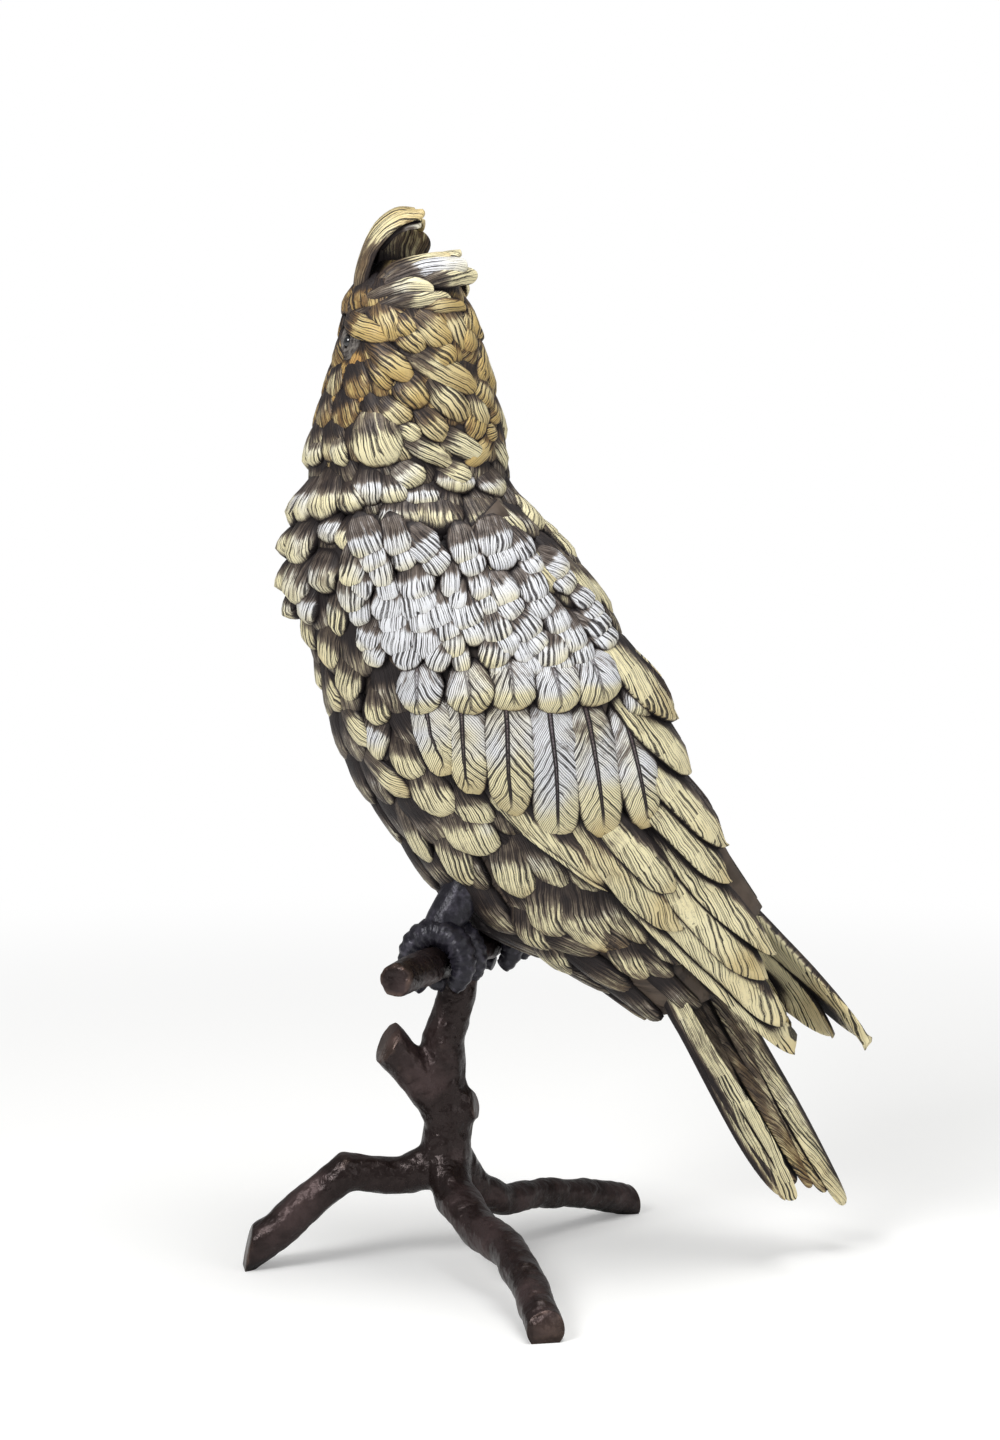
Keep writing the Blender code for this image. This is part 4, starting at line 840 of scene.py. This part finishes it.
for table, lift, tone, added_wash_and_shade, both in SCALE_GROUPS:
    for d0, deg0, d1, deg1, width in table:
        faded = tone - max(0.0, d1 - PALE_FROM) * PALE_RATE if table is HEAD_SCALES else tone
        raised = lift + (min(lift, SIDE_LIFT) - lift) * min(abs(deg1) / 90, 1.0)
        root = (d0 - (d1 - d0) * UNDER_SHARE, deg0 - (deg1 - deg0) * UNDER_SHARE)
        add_scale(pile, root, (d1, deg1), width * WIDEN, raised, faded, added_wash_and_shade=added_wash_and_shade)
        if both:
            add_scale(pile, (root[0], -root[1]), (d1, -deg1), width * WIDEN, raised, tone, added_wash_and_shade=added_wash_and_shade)
        elif deg1 > HEAD_BACK:
            twin = 2 * FACE_TURN
            add_scale(pile, (root[0], twin - root[1]), (d1, twin - deg1), width * WIDEN, raised, tone,
                      added_wash_and_shade=added_wash_and_shade)
hand_over(join_pile("body_feathers", pile), None, feathers)


# The cheeks are combed: short narrow locks run down and forward from the bare ring round each
# eye, and end in the white scallops that hang over the neck.
LOCK_ROWS = 9
LOCK_COUNT = 12
LOCK_FROM = 0.021       # where the first row starts down the head, and the step to the next
LOCK_STEP = 0.0036
LOCK_FIRST = -76        # the rows' first angle and how far they reach, degrees
LOCK_SPAN = 86
LOCK_LONG = 0.0095
LOCK_WIDE = 0.0034
LOCK_LIFT = 0.0011
LOCK_TONE = 1.20
LOCK_DARKENING = 0.45
LOCK_SIZE = (8, 7)
pile = []
for mirror in (False, True):
    for row in range(LOCK_ROWS):
        d0 = LOCK_FROM + row * LOCK_STEP
        spread = 1.0 if row > 2 else 0.55 + 0.15 * row
        for k in range(LOCK_COUNT):
            deg = LOCK_FIRST + LOCK_SPAN * (k + 0.5 * (row % 2)) / LOCK_COUNT * spread
            tip_deg = deg + 7 + 6 * noise.noise(Vector((row * 1.3, k * 2.1, 3.0)))
            long = LOCK_LONG * (1 + 0.35 * noise.noise(Vector((row * 2.3, k * 1.1, 7.0))))
            warm = LOCK_TONE + 0.5 * noise.noise(Vector((row * 0.7, k * 0.9, 1.0)))
            if mirror:
                deg, tip_deg = 2 * FACE_TURN - deg, 2 * FACE_TURN - tip_deg
            add_scale(pile, (d0, deg), (d0 + long, tip_deg), LOCK_WIDE, LOCK_LIFT, warm,
                      LOCK_SIZE, LOCK_DARKENING)
hand_over(join_pile("cheek_locks", pile), None, feathers)


# The folded wings lie along the body and run out over the tail. A plate carries the coverts,
# and past its end the long flight feathers stand free.
WRIST = (-0.0280, 0.1960)
WING_LEN = 0.1895
WING_TOP = [(0, 0.044), (0.07, 0.0425), (0.26, 0.0365), (0.38, 0.031), (0.48, 0.025),
            (0.65, 0.015), (0.79, 0.009), (1, 0.002)]
WING_LOW = [(0, -0.014), (0.08, -0.018), (0.28, -0.022), (0.42, -0.018), (0.59, -0.013),
            (0.77, -0.0115), (0.9, -0.0125), (1, -0.008)]
WING_OUT = [(0, 0.038), (0.15, 0.0425), (0.3, 0.0425), (0.45, 0.036), (0.6, 0.0275),
            (0.8, 0.017), (1, 0.0105)]
WING_THICK = [(0, 0.016), (0.45, 0.014), (0.62, 0.006), (1, 0.003)]
WING_FULL = 0.3         # where the wing bulges most, as a share of its breadth from the lower edge
WING_ROUND = 0.72       # breadth of the round upper part
WING_DROP = 0.18        # how much of the bulge is lost at the lower edge
SLOPE_STEP = 0.0015     # step over which the wing's slope is read
WING_MEDIAN = [
    (0.0140, -0.0065, 0.0275, -0.0165, 0.0130), (0.0230, 0.0025, 0.0368, -0.0070, 0.0130),
    (0.0300, 0.0115, 0.0440, 0.0010, 0.0135), (0.0380, 0.0195, 0.0535, 0.0090, 0.0135),
    (0.0450, 0.0270, 0.0600, 0.0180, 0.0140), (0.0560, 0.0315, 0.0740, 0.0260, 0.0130),
]
WING_GREATER = [
    (0.0170, -0.0080, 0.0440, -0.0255, 0.0125), (0.0230, 0.0000, 0.0532, -0.0235, 0.0130),
    (0.0310, 0.0090, 0.0649, -0.0192, 0.0142), (0.0400, 0.0160, 0.0790, -0.0150, 0.0150),
    (0.0500, 0.0200, 0.0870, -0.0062, 0.0135), (0.0600, 0.0250, 0.0940, 0.0030, 0.0120),
]
WING_LONG = [
    (0.0760, -0.0130, 0.1730, -0.0128, 0.0090), (0.0830, -0.0075, 0.1640, -0.0080, 0.0095),
    (0.0880, -0.0020, 0.1500, -0.0030, 0.0095), (0.0900, 0.0040, 0.1470, 0.0025, 0.0090),
    (0.0500, -0.0190, 0.1014, -0.0130, 0.0110), (0.0700, -0.0100, 0.1218, -0.0075, 0.0110),
    (0.0750, -0.0020, 0.1120, -0.0020, 0.0105), (0.0750, 0.0100, 0.1225, 0.0080, 0.0100),
    (0.0680, 0.0170, 0.1150, 0.0140, 0.0105), (0.0560, 0.0250, 0.0930, 0.0215, 0.0110),
    (0.0440, 0.0320, 0.0800, 0.0290, 0.0120),
]
# The far wing reaches a little further, and shows past the near one
FAR_EXTRA = [(0.1000, -0.0040, 0.1830, -0.0035, 0.0100), (0.1000, 0.0020, 0.1902, 0.0020, 0.0100)]
# The small shoulder feathers: where each tip is, the topmost nine first
SHOULDER_TIPS = [
    (0.0490, 0.0325), (0.0400, 0.0335), (0.0300, 0.0350), (-0.0130, 0.0040), (-0.0070, 0.0100),
    (-0.0005, 0.0150), (0.0065, 0.0200), (0.0125, 0.0260), (0.0190, 0.0315), (-0.0110, -0.0050),
    (-0.0045, 0.0000), (0.0035, 0.0050), (0.0100, 0.0100), (0.0175, 0.0145), (0.0235, 0.0205),
    (0.0300, 0.0265), (-0.0060, -0.0115), (0.0010, -0.0075), (0.0075, -0.0020), (0.0145, 0.0030),
    (0.0215, 0.0075), (0.0280, 0.0125), (0.0345, 0.0185), (0.0400, 0.0245), (0.0040, -0.0165),
    (0.0105, -0.0110), (0.0170, -0.0055), (0.0240, -0.0005), (0.0310, 0.0045), (0.0375, 0.0105),
    (0.0430, 0.0170), (0.0470, 0.0240),
]
SHOULDER_ROOT = (-0.0125, 0.0085)   # from tip to root, before it is turned
SHOULDER_WIDE = 0.0086
SHOULDER_TURN = 0.5     # how much the growing direction wanders, radians
SHOULDER_FAN = 16.0     # how fast it turns towards the tail, radians a metre up the wing
SHOULDER_MIDDLE = 0.007 # where across the wing the growing direction isn't turned
SHOULDER_DARKENING = 0.20
# A second, smaller feather lies beside each one: size, step of its tip
SHOULDER_SIZES = ((1.0, (0.0, 0.0)), (0.88, (0.0042, -0.0012)))
# Each group of wing feathers: its table, lift, depth, tone, strength of the cut shaft, lean, wash and
# painted shade
WING_GROUPS = [
    (WING_LONG, 0.0032, 0.0024, 0.46, 0.25, -0.90, -0.05),
    (WING_GREATER, 0.0026, 0.0034, 0.10, 1.0, None, 0.10),
    (WING_MEDIAN, 0.0032, 0.0034, 0.0, 0.45, None, 0.12),
]
SHOULDER_LIFT = 0.0022
SHOULDER_STRAY = 0.0030 # how far a tip strays from its place
SHOULDER_VARIES = 0.45  # how much their widths vary
TOP_ROW = 9             # the top row has nothing above it, so its feathers are shorter
TOP_SHORT = 0.90


def read_table(rows, s):
    """Read one value from a list of (position, value) rows."""
    for (s0, v0), (s1, v1) in zip(rows, rows[1:]):
        if s <= s1:
            return v0 + (v1 - v0) * max(0.0, (s - s0) / (s1 - s0))
    return rows[-1][1]


def wing_point(along, across, side):
    """A point of the folded wing's outer surface. side is -1 for the left wing."""
    q = min(max(along / WING_LEN, 0.0), 1.0)
    top, low, out = (read_table(t, q) for t in (WING_TOP, WING_LOW, WING_OUT))
    rho = min(max((across - low) / (top - low), 0.0), 1.0)
    if rho > WING_FULL:
        bulge = math.sqrt(max(0.0, 1 - ((rho - WING_FULL) / WING_ROUND) ** 2))
    else:
        bulge = 1 - WING_DROP * ((WING_FULL - rho) / WING_FULL) ** 2
    x = WRIST[0] + (along + across) * math.sqrt(0.5)
    z = WRIST[1] + (across - along) * math.sqrt(0.5)
    return Vector((x, side * out * bulge, z))


def wing_frame(along, across, side):
    """Surface point and outward direction of a wing."""
    e = SLOPE_STEP
    u = wing_point(along + e, across, side) - wing_point(along - e, across, side)
    v = wing_point(along, across + e, side) - wing_point(along, across - e, side)
    n = u.cross(v).normalized()
    if n.y * side < 0:
        n.negate()
    return wing_point(along, across, side), n


WING_STEPS = 40
PLATE_POINTS = 12       # points across the plate's outer face
PLATE_LOW = 0.05        # the plate starts this far up the wing's breadth,
PLATE_BROAD = 0.86      # and covers this share of it
PLATE_CLEAR = 0.001     # it stays this far from the bird's middle plane
PLATE_END = 0.72        # the plate stops here, so that only feathers reach the wing's tip
LONG_FROM = 0.04        # feathers longer than this follow the wing's curve,
LONG_SIZE = (14, 24)    # so they have more rings
for side, name in ((-1, "left"), (1, "right")):
    bm = bmesh.new()
    give_layers(bm)
    rows = []
    for i in range(WING_STEPS + 1):
        q = PLATE_END * i / WING_STEPS
        top, low, thick = (read_table(t, q) for t in (WING_TOP, WING_LOW, WING_THICK))
        shares = [PLATE_LOW + PLATE_BROAD * k / (PLATE_POINTS - 1) for k in range(PLATE_POINTS)]
        outer = [wing_point(q * WING_LEN, low + (top - low) * share, side) for share in shares]
        inner = [Vector((p.x, p.y - side * min(thick, abs(p.y) - PLATE_CLEAR), p.z))
                 for p in reversed(outer)]
        rows.append(outer + inner)
    add_loft(bm, rows)
    # The plate takes the body's paint at tone 0: dark brown, as painted shade in the gaps between the
    # coverts
    hand_over(as_object(f"wing_plate_{name}", bm), None, body.data.materials[0])
    pile = []
    for table, lift, depth, tone, quill, lean, added_wash_and_shade in WING_GROUPS:
        extra = FAR_EXTRA if side > 0 and table is WING_LONG else []
        for a0, r0, a1, r1, width in table + extra:
            go = Vector((a1 - a0, r1 - r0)).normalized()
            size = LONG_SIZE if a1 - a0 > LONG_FROM else (SCALE_SEGMENTS, SCALE_RINGS)
            add_feather(pile, lambda a, r: wing_frame(a, r, side), (a0, r0), (a1, r1), (-go.y, go.x),
                        width, lift, depth, tone, quill, size, added_wash_and_shade, lean)
    for i, (a1, r1) in enumerate(reversed(SHOULDER_TIPS)):
        short = TOP_SHORT if i >= len(SHOULDER_TIPS) - TOP_ROW else 1.0
        for size, step in SHOULDER_SIZES:
            chance = [noise.noise(Vector((i * 1.93 + size, 0.3 + k * 5.1, 5.0))) for k in range(4)]
            tip = (a1 + step[0] + SHOULDER_STRAY * chance[0], r1 + step[1] + SHOULDER_STRAY * chance[1])
            turn = SHOULDER_TURN * chance[2] + SHOULDER_FAN * (r1 - SHOULDER_MIDDLE)
            back = Matrix.Rotation(turn, 2) @ Vector(SHOULDER_ROOT) * size * short
            go = -back.normalized()
            width = SHOULDER_WIDE * size * (1 + SHOULDER_VARIES * chance[3])
            add_feather(pile, lambda a, r: wing_frame(a, r, side), (tip[0] + back.x, tip[1] + back.y),
                        tip, (-go.y, go.x), width, SHOULDER_LIFT, SCALE_DEPTH, 0.0,
                        added_wash_and_shade=SHOULDER_DARKENING)
    hand_over(join_pile(f"wing_feathers_{name}", pile), None, feathers)


# Plumes stand free of the body: the tail's feathers, and the raised crest. Each is a flat
# spindle along a curved line, its edges bent back from the side that shows.
PLUME_SIZE = (16, 30)
PLUME_STEP = 0.02       # step over which a plume's direction is read
PLUME_WIDEST = 0.55     # a plume has its full width from here,
PLUME_END = 0.7         # and is rounded from here on
TUCKED_BAND = 0.22      # the band of painted shadow starts this far past the middle


def along_line(points, t):
    """A point of the smooth curve through the points, t from 0 to 1."""
    last = len(points) - 1
    i = min(int(t * last), last - 1)
    k = t * last - i
    rows = points[max(i - 1, 0)], points[i], points[i + 1], points[min(i + 2, last)]
    return Vector([0.5 * (2 * b + (c - a) * k + (2 * a - 5 * b + 4 * c - e) * k * k
                          + (3 * b - a - 3 * c + e) * k ** 3) for a, b, c, e in zip(*rows)])


def add_plume(pile, points, half, thick, cup, outward, tone, quill=0.0, narrow=0.6, added_wash_and_shade=0.0,
              tucked=0.0):
    """A free feather along a line of points. outward(point) is the side that shows.

    A tucked share puts painted shadow on the edge that lies under the next feather and leaves the other edge
    unshaded.
    """
    length = sum((Vector(b) - Vector(a)).length for a, b in zip(points, points[1:]))
    luck = noise.noise(Vector(points[-1]) * 900) * 0.5 + 0.5

    def form(s, side, up):
        p = along_line(points, s)
        before, after = (along_line(points, min(max(s + e, 0), 1)) for e in (-PLUME_STEP, PLUME_STEP))
        go = (after - before).normalized()
        flat = go.cross(outward(p)).normalized()
        rise = flat.cross(go).normalized()
        w = half * (narrow + (1 - narrow) * math.sin(math.pi / 2 * min(s / PLUME_WIDEST, 1.0)))
        if s > PLUME_END:
            w *= max(0.0, 1 - ((s - PLUME_END) / (1 - PLUME_END)) ** BLUNT) ** (1 / BLUNT)
        w *= min(1.0, s / 0.01)
        across = math.copysign(abs(side) ** 0.8, side)
        high = up * thick / 2 * (1 - 0.45 * s) * min(1.0, (1 - s) / 0.02) - cup * w * across * across
        ripple = 1 + 0.05 * math.sin(luck * 50 + s * 14)
        # rim sets the painted shade: with a tucked share a band of painted shadow on the edge under the next
        # feather, otherwise darker only at the very edges
        rim = min(1.0, max(0.0, TUCKED_BAND - across * tucked)) if tucked else abs(across) ** 6
        return p + flat * across * w * ripple + rise * high, across * w, s * length, rim

    press_ball(pile, *PLUME_SIZE, form, tone, luck, quill, added_wash_and_shade)


TAIL_ROOT = Vector((0.0488, 0, 0.0958))
TAIL_TIP = Vector((0.0901, 0, 0.0230))
# The tail is a trough that opens towards the bird's left: for each feather, its place across
# the tail, its depth from the bird's middle, how much longer it is than the first, tone, and how
# much wash and painted shade it gets
TAIL = [
    (0.0075, 0.0095, 0.0136, 0.40, 0.35), (0.0040, 0.0075, 0.0070, 0.50, 0.70),
    (0.0005, 0.0045, 0.0030, 0.50, 0.90), (-0.0035, 0.0015, -0.0010, 0.45, 0.95),
    (-0.0075, -0.0010, 0.0000, 0.45, 0.80), (-0.0095, -0.0045, 0.0005, 0.50, 0.45),
    (-0.0088, -0.0090, -0.0020, 0.45, 0.45), (-0.0065, -0.0125, 0.0000, 0.45, 0.05),
]
TAIL_NARROWS = 0.85     # its breadth at the tip, as a share of the root's
TAIL_W = 0.0090
TAIL_T = 0.0024
TAIL_CUP = 0.12
TAIL_SAG = 0.0008       # the feathers' lines sag or arch by up to this
TAIL_TUCKED = 0.9
TAIL_LEAN = 0.38         # each tail feather's near edge stands out this much, per width
go = (TAIL_TIP - TAIL_ROOT).normalized()
rise = Vector((-go.z, 0, go.x))
pile = []
for k, (r, y, longer, tone, added_wash_and_shade) in enumerate(TAIL):
    before, after = TAIL[max(k - 1, 0)], TAIL[min(k + 1, len(TAIL) - 1)]
    flat = (rise * (after[0] - before[0]) + Vector((0, after[1] - before[1], 0))).normalized()
    facing = flat.cross(go)
    a = TAIL_ROOT + rise * r + Vector((0, y, 0))
    b = TAIL_TIP + (rise * r + Vector((0, y, 0))) * TAIL_NARROWS + go * longer
    sag = facing * TAIL_SAG * math.sin(k * 2.4)
    shown = facing - flat * TAIL_LEAN
    add_plume(pile, [a, a.lerp(b, 0.35) + sag, a.lerp(b, 0.7) - sag, b], TAIL_W / 2, TAIL_T,
              TAIL_CUP, lambda p: shown, tone, 0.3, 0.75, added_wash_and_shade, TAIL_TUCKED)
hand_over(join_pile("tail_feathers", pile), None, feathers)

# The crest: five plumes rise from the forehead and curl back over a dark hollow, and nine lower
# ones sweep back over the crown to light round ends.
CREST_MIDDLE = Vector((-0.0200, 0.0, 0.2830))
CREST_T = 0.0030
CREST_CUP = 0.35
CREST_NARROW = 0.8
# Each plume: its line, half-width, tone, how much wash and painted shade it gets
CREST = [
    ([(-0.0300, 0.0130, 0.2740), (-0.0305, 0.0145, 0.2850), (-0.0290, 0.0130, 0.2950),
      (-0.0262, 0.0095, 0.3015)], 0.0080, 0.5, 0.95),
    ([(-0.0400, 0.0060, 0.2740), (-0.0405, 0.0050, 0.2850), (-0.0385, 0.0030, 0.2935),
      (-0.0350, 0.0010, 0.3010), (-0.0295, 0.0000, 0.3052), (-0.0240, 0.0000, 0.3052)], 0.0085, 0.7, 0.0),
    ([(-0.0402, -0.0030, 0.2740), (-0.0400, -0.0055, 0.2850), (-0.0378, -0.0070, 0.2930),
      (-0.0340, -0.0080, 0.2990), (-0.0285, -0.0080, 0.3032), (-0.0212, -0.0075, 0.3044)], 0.0046, 0.6, 0.0),
    ([(-0.0340, -0.0050, 0.2950), (-0.0300, -0.0080, 0.2990), (-0.0265, -0.0085, 0.3008),
      (-0.0222, -0.0080, 0.3010)], 0.0022, 0.0, 0.0),
    ([(-0.0345, 0.0100, 0.2900), (-0.0320, 0.0100, 0.2980), (-0.0270, 0.0090, 0.3030),
      (-0.0215, 0.0080, 0.3020)], 0.0055, 0.7, 0.3),
    ([(-0.0385, -0.0090, 0.2790), (-0.0308, -0.0115, 0.2873), (-0.0222, -0.0095, 0.2905),
      (-0.0140, -0.0060, 0.2920)], 0.0036, 0.55, 0.3),
    ([(-0.0380, -0.0110, 0.2785), (-0.0278, -0.0145, 0.2850), (-0.0185, -0.0130, 0.2885),
      (-0.0092, -0.0090, 0.2897)], 0.0036, 0.05, 0.25),
    ([(-0.0340, -0.0120, 0.2790), (-0.0200, -0.0145, 0.2845), (-0.0128, -0.0115, 0.2862),
      (-0.0066, -0.0060, 0.2868)], 0.0030, 0.30, 0.2),
    ([(-0.0422, -0.0085, 0.2760), (-0.0345, -0.0145, 0.2797), (-0.0260, -0.0170, 0.2822),
      (-0.0185, -0.0155, 0.2817)], 0.0034, 0.25, 0.25),
    ([(-0.0400, -0.0120, 0.2742), (-0.0306, -0.0170, 0.2775), (-0.0215, -0.0175, 0.2785),
      (-0.0138, -0.0125, 0.2792)], 0.0032, 0.45, 0.4),
    ([(-0.0330, -0.0150, 0.2745), (-0.0226, -0.0165, 0.2760), (-0.0158, -0.0150, 0.2765),
      (-0.0100, -0.0080, 0.2770)], 0.0032, 0.85, 0.3),
    ([(-0.0300, 0.0000, 0.2830), (-0.0220, 0.0000, 0.2895), (-0.0165, 0.0005, 0.2925),
      (-0.0110, 0.0010, 0.2935)], 0.0052, 0.4, 0.3),
    ([(-0.0320, 0.0090, 0.2790), (-0.0250, 0.0115, 0.2845), (-0.0175, 0.0115, 0.2885),
      (-0.0095, 0.0090, 0.2900)], 0.0050, 0.2, 0.0),
    ([(-0.0300, 0.0130, 0.2750), (-0.0230, 0.0150, 0.2790), (-0.0160, 0.0140, 0.2820),
      (-0.0090, 0.0100, 0.2845)], 0.0046, 0.3, 0.0),
]
pile = []
for line, half, tone, added_wash_and_shade in CREST:
    add_plume(pile, [Vector(p) for p in line], half, CREST_T, CREST_CUP,
              lambda p: p - CREST_MIDDLE, tone, 0.0, CREST_NARROW, added_wash_and_shade)
hand_over(join_pile("crest_plumes", pile), None, feathers)


# The hooked bill is on the far side of the turned head. It keeps a smooth dark horn finish.
def add_smooth_limb(bm, points, steps, sides=16):
    """A round limb along a smooth curve through (x, y, z, radius) points."""
    fine = []
    for i in range(steps + 1):
        at = along_line([(p[0], p[1], p[2]) for p in points], i / steps)
        wide = along_line([(p[3], 0, 0) for p in points], i / steps).x
        fine.append((*at, max(wide, 0.0003)))
    add_limb(bm, fine, sides)


face = math.radians(FACE_TURN)
ahead = Vector((-math.cos(face), math.sin(face), 0))
BILL_BASE = Vector((-0.0265, 0.0, 0.2600))
BILL_UPPER = [(0.012, 0.004, 0.0075), (0.019, 0.004, 0.0068), (0.0255, 0.000, 0.0054),
              (0.0290, -0.007, 0.0036), (0.0285, -0.013, 0.0010)]
BILL_LOWER = [(0.012, -0.008, 0.0060), (0.019, -0.009, 0.0050), (0.0235, -0.0085, 0.0030)]
bill_paint = Paint("dark_horn", Roughness=0.35)
where = bill_paint.place()
bill_paint.drive(Base_Color=bill_paint.mix((0.03, 0.028, 0.032), (0.10, 0.085, 0.075),
                                           bill_paint.noise(where, 260, 4).step(0.45, 0.7)),
                 Normal=bill_paint.bump(bill_paint.noise(where, 500, 3), 0.0003))
bm = bmesh.new()
for line in (BILL_UPPER, BILL_LOWER):
    add_smooth_limb(bm, [(*(BILL_BASE + ahead * f + Vector((0, 0, h))), r) for f, h, r in line], 16, 20)
hand_over(as_object("bill", bm), None, bill_paint.material)


# Legs and feet: bare, scaly and almost black. Two toes of each foot close round the perch
# from the front and two from behind.
FOOT_AT = (0.40, 0.83)
HIP = ((-0.0060, -0.0110, 0.1200), (0.0020, 0.0120, 0.1200))
SHANK_R = 0.0060
TOE_R = 0.0039
TOE_SPREAD = 0.0042
GAP = 0.0003
TOE_STEPS = 30
SCUTES = 9              # horny rings along a toe
foot_paint = Paint("blue_black_feet", Roughness=0.38, Metallic=0.3)
where = foot_paint.place()
lumps = foot_paint.noise(where, 420, 4)
foot_paint.drive(Base_Color=foot_paint.mix((0.012, 0.011, 0.018), (0.06, 0.055, 0.075),
                                           lumps.step(0.45, 0.75)),
                 Normal=foot_paint.bump(lumps, 0.0006, 0.8))
axis = (PERCH_FAR - PERCH_NEAR).normalized()
over = Vector((0, 0, 1))
over = (over - axis * over.dot(axis)).normalized()
forward = axis.cross(over)
if forward.x > 0:
    forward.negate()
ring = PERCH_R + GAP + TOE_R * 0.8
bm = bmesh.new()
for at, hip in zip(FOOT_AT, HIP):
    c = PERCH_NEAR.lerp(PERCH_FAR, at)
    sole = c + over * (ring + 0.001)
    add_smooth_limb(bm, [(*hip, SHANK_R * 1.25), (*Vector(hip).lerp(sole, 0.5), SHANK_R),
                         (*sole, SHANK_R * 0.95), (*(c + over * PERCH_R * 1.1), SHANK_R * 0.8)], 12)
    toes = ((-TOE_SPREAD, 1, 150), (TOE_SPREAD, 1, 165), (-TOE_SPREAD, -1, 140), (TOE_SPREAD, -1, 125))
    for shift, way, sweep in toes:
        line = []
        for j in range(TOE_STEPS + 1):
            s = j / TOE_STEPS
            a = math.radians(sweep) * s
            r = TOE_R * (1.15 - 0.55 * s * s) * (1 + 0.07 * math.sin(2 * math.pi * SCUTES * s))
            round_perch = (over * math.cos(a) + forward * way * math.sin(a)) * ring
            p = c + axis * shift * (0.6 + 0.5 * s) + round_perch
            line.append((*p, r))
        add_limb(bm, line, 14)
hand_over(as_object("legs_and_feet", bm), None, foot_paint.material)


# The eyes are small black glass beads, each in a wrinkled grey ring of bare skin.
EYE_R = 0.0019
SKIN = (0.20, 0.18, 0.16)
# Wrinkles round each eye: half-width, thickness, how far it stands out
WRINKLES = ((0.0024, 0.0007, 0.0009), (0.0034, 0.0008, 0.0005), (0.0045, 0.0009, 0.0))
WRINKLE_TALL = 1.15     # their height, as a share of the width
WRINKLE_STEPS = 24
BEAD_OUT = 0.0002       # how far the bead's middle stands out of the skin
glass = Paint("black_glass", Roughness=0.06, Coat_Weight=1.0)
glass.shader.inputs["Base Color"].default_value = (0.006, 0.006, 0.007, 1)
skin = Paint("grey_eye_skin", Roughness=0.55)
where = skin.place()
wrinkle = skin.noise(where, 700, 4)
skin.drive(Base_Color=skin.mix((0.07, 0.06, 0.055), SKIN, wrinkle.step(0.40, 0.62)),
           Normal=skin.bump(wrinkle, 0.0006))
skin_bm = bmesh.new()
for name, turn in (("left", -EYE_TURN), ("right", EYE_TURN)):
    p, n = body_frame(EYE_D, math.radians(FACE_TURN + turn))
    bm = bmesh.new()
    bmesh.ops.create_uvsphere(bm, u_segments=32, v_segments=20, radius=EYE_R,
                              matrix=Matrix.Translation(p + n * BEAD_OUT))
    hand_over(as_object(f"glass_bead_{name}", bm), f"eye_{name}", glass.material)
    turned = n.to_track_quat("Z", "Y").to_matrix().to_4x4()
    for wide, thick, out in WRINKLES:
        line = []
        for j in range(WRINKLE_STEPS + 1):
            a = 2 * math.pi * j / WRINKLE_STEPS
            spot = Vector((wide * math.cos(a), wide * WRINKLE_TALL * math.sin(a), out))
            line.append((*(p + turned.to_3x3() @ spot), thick))
        add_limb(skin_bm, line, 8)
hand_over(as_object("eye_rings", skin_bm), None, skin.material)


# Floor and light: a plain pale table under soft studio lamps. To the camera the far floor and
# the air behind are plain white; near the object the floor keeps its shadow.
bm = bmesh.new()
bmesh.ops.create_grid(bm, x_segments=1, y_segments=1, size=6.0)
floor = as_object("floor", bm)
floor_paint = Paint("pale_floor", Roughness=0.6)
floor_paint.shader.inputs["Base Color"].default_value = (0.82, 0.82, 0.81, 1)
seen = floor_paint.node("ShaderNodeLightPath", out="Is Camera Ray")
far = floor_paint.node("ShaderNodeVectorMath", {"operation": "LENGTH"}, {0: floor_paint.place()},
                       out="Value")
floor_paint.drive(Emission_Color=floor_paint.mix((0, 0, 0), (0.22, 0.22, 0.22), seen))
floor_paint.shader.inputs["Emission Strength"].default_value = 1.0
white = floor_paint.tree.nodes.new("ShaderNodeEmission")
blend = floor_paint.tree.nodes.new("ShaderNodeMixShader")
floor_paint.tree.links.new((seen * far.step(0.22, 0.75)).socket, blend.inputs["Fac"])
floor_paint.tree.links.new(floor_paint.shader.outputs["BSDF"], blend.inputs[1])
floor_paint.tree.links.new(white.outputs["Emission"], blend.inputs[2])
floor_paint.tree.links.new(blend.outputs["Shader"],
                           floor_paint.tree.nodes["Material Output"].inputs["Surface"])
floor.data.materials.append(floor_paint.material)

SKY = 0.28
world = bpy.data.worlds.new("studio")
bpy.context.scene.world = world
world.use_nodes = True
tree = world.node_tree
tree.nodes["Background"].inputs["Color"].default_value = (1, 1, 1, 1)
tree.nodes["Background"].inputs["Strength"].default_value = SKY
backdrop = tree.nodes.new("ShaderNodeBackground")
backdrop.inputs["Color"].default_value = (1, 1, 1, 1)
rays = tree.nodes.new("ShaderNodeLightPath")
choose = tree.nodes.new("ShaderNodeMixShader")
tree.links.new(rays.outputs["Is Camera Ray"], choose.inputs["Fac"])
tree.links.new(tree.nodes["Background"].outputs["Background"], choose.inputs[1])
tree.links.new(backdrop.outputs["Background"], choose.inputs[2])
tree.links.new(choose.outputs["Shader"], tree.nodes["World Output"].inputs["Surface"])


def softbox(name, at, aim, size, watts):
    lamp = bpy.data.lights.new(name, "AREA")
    lamp.energy = watts
    lamp.size = size
    made = bpy.data.objects.new(name, lamp)
    made.location = at
    made.rotation_euler = (Vector(aim) - Vector(at)).to_track_quat("-Z", "Y").to_euler()
    bpy.context.scene.collection.objects.link(made)


AIM = (0.0, 0.0, 0.17)
softbox("key_softbox", (-0.75, -0.85, 0.95), AIM, 0.5, 11.5)
softbox("fill_softbox", (0.95, -0.65, 0.55), AIM, 0.8, 3)
softbox("top_softbox", (0.1, -0.1, 1.2), AIM, 0.6, 7.5)
bpy.context.scene.view_settings.view_transform = "Standard"
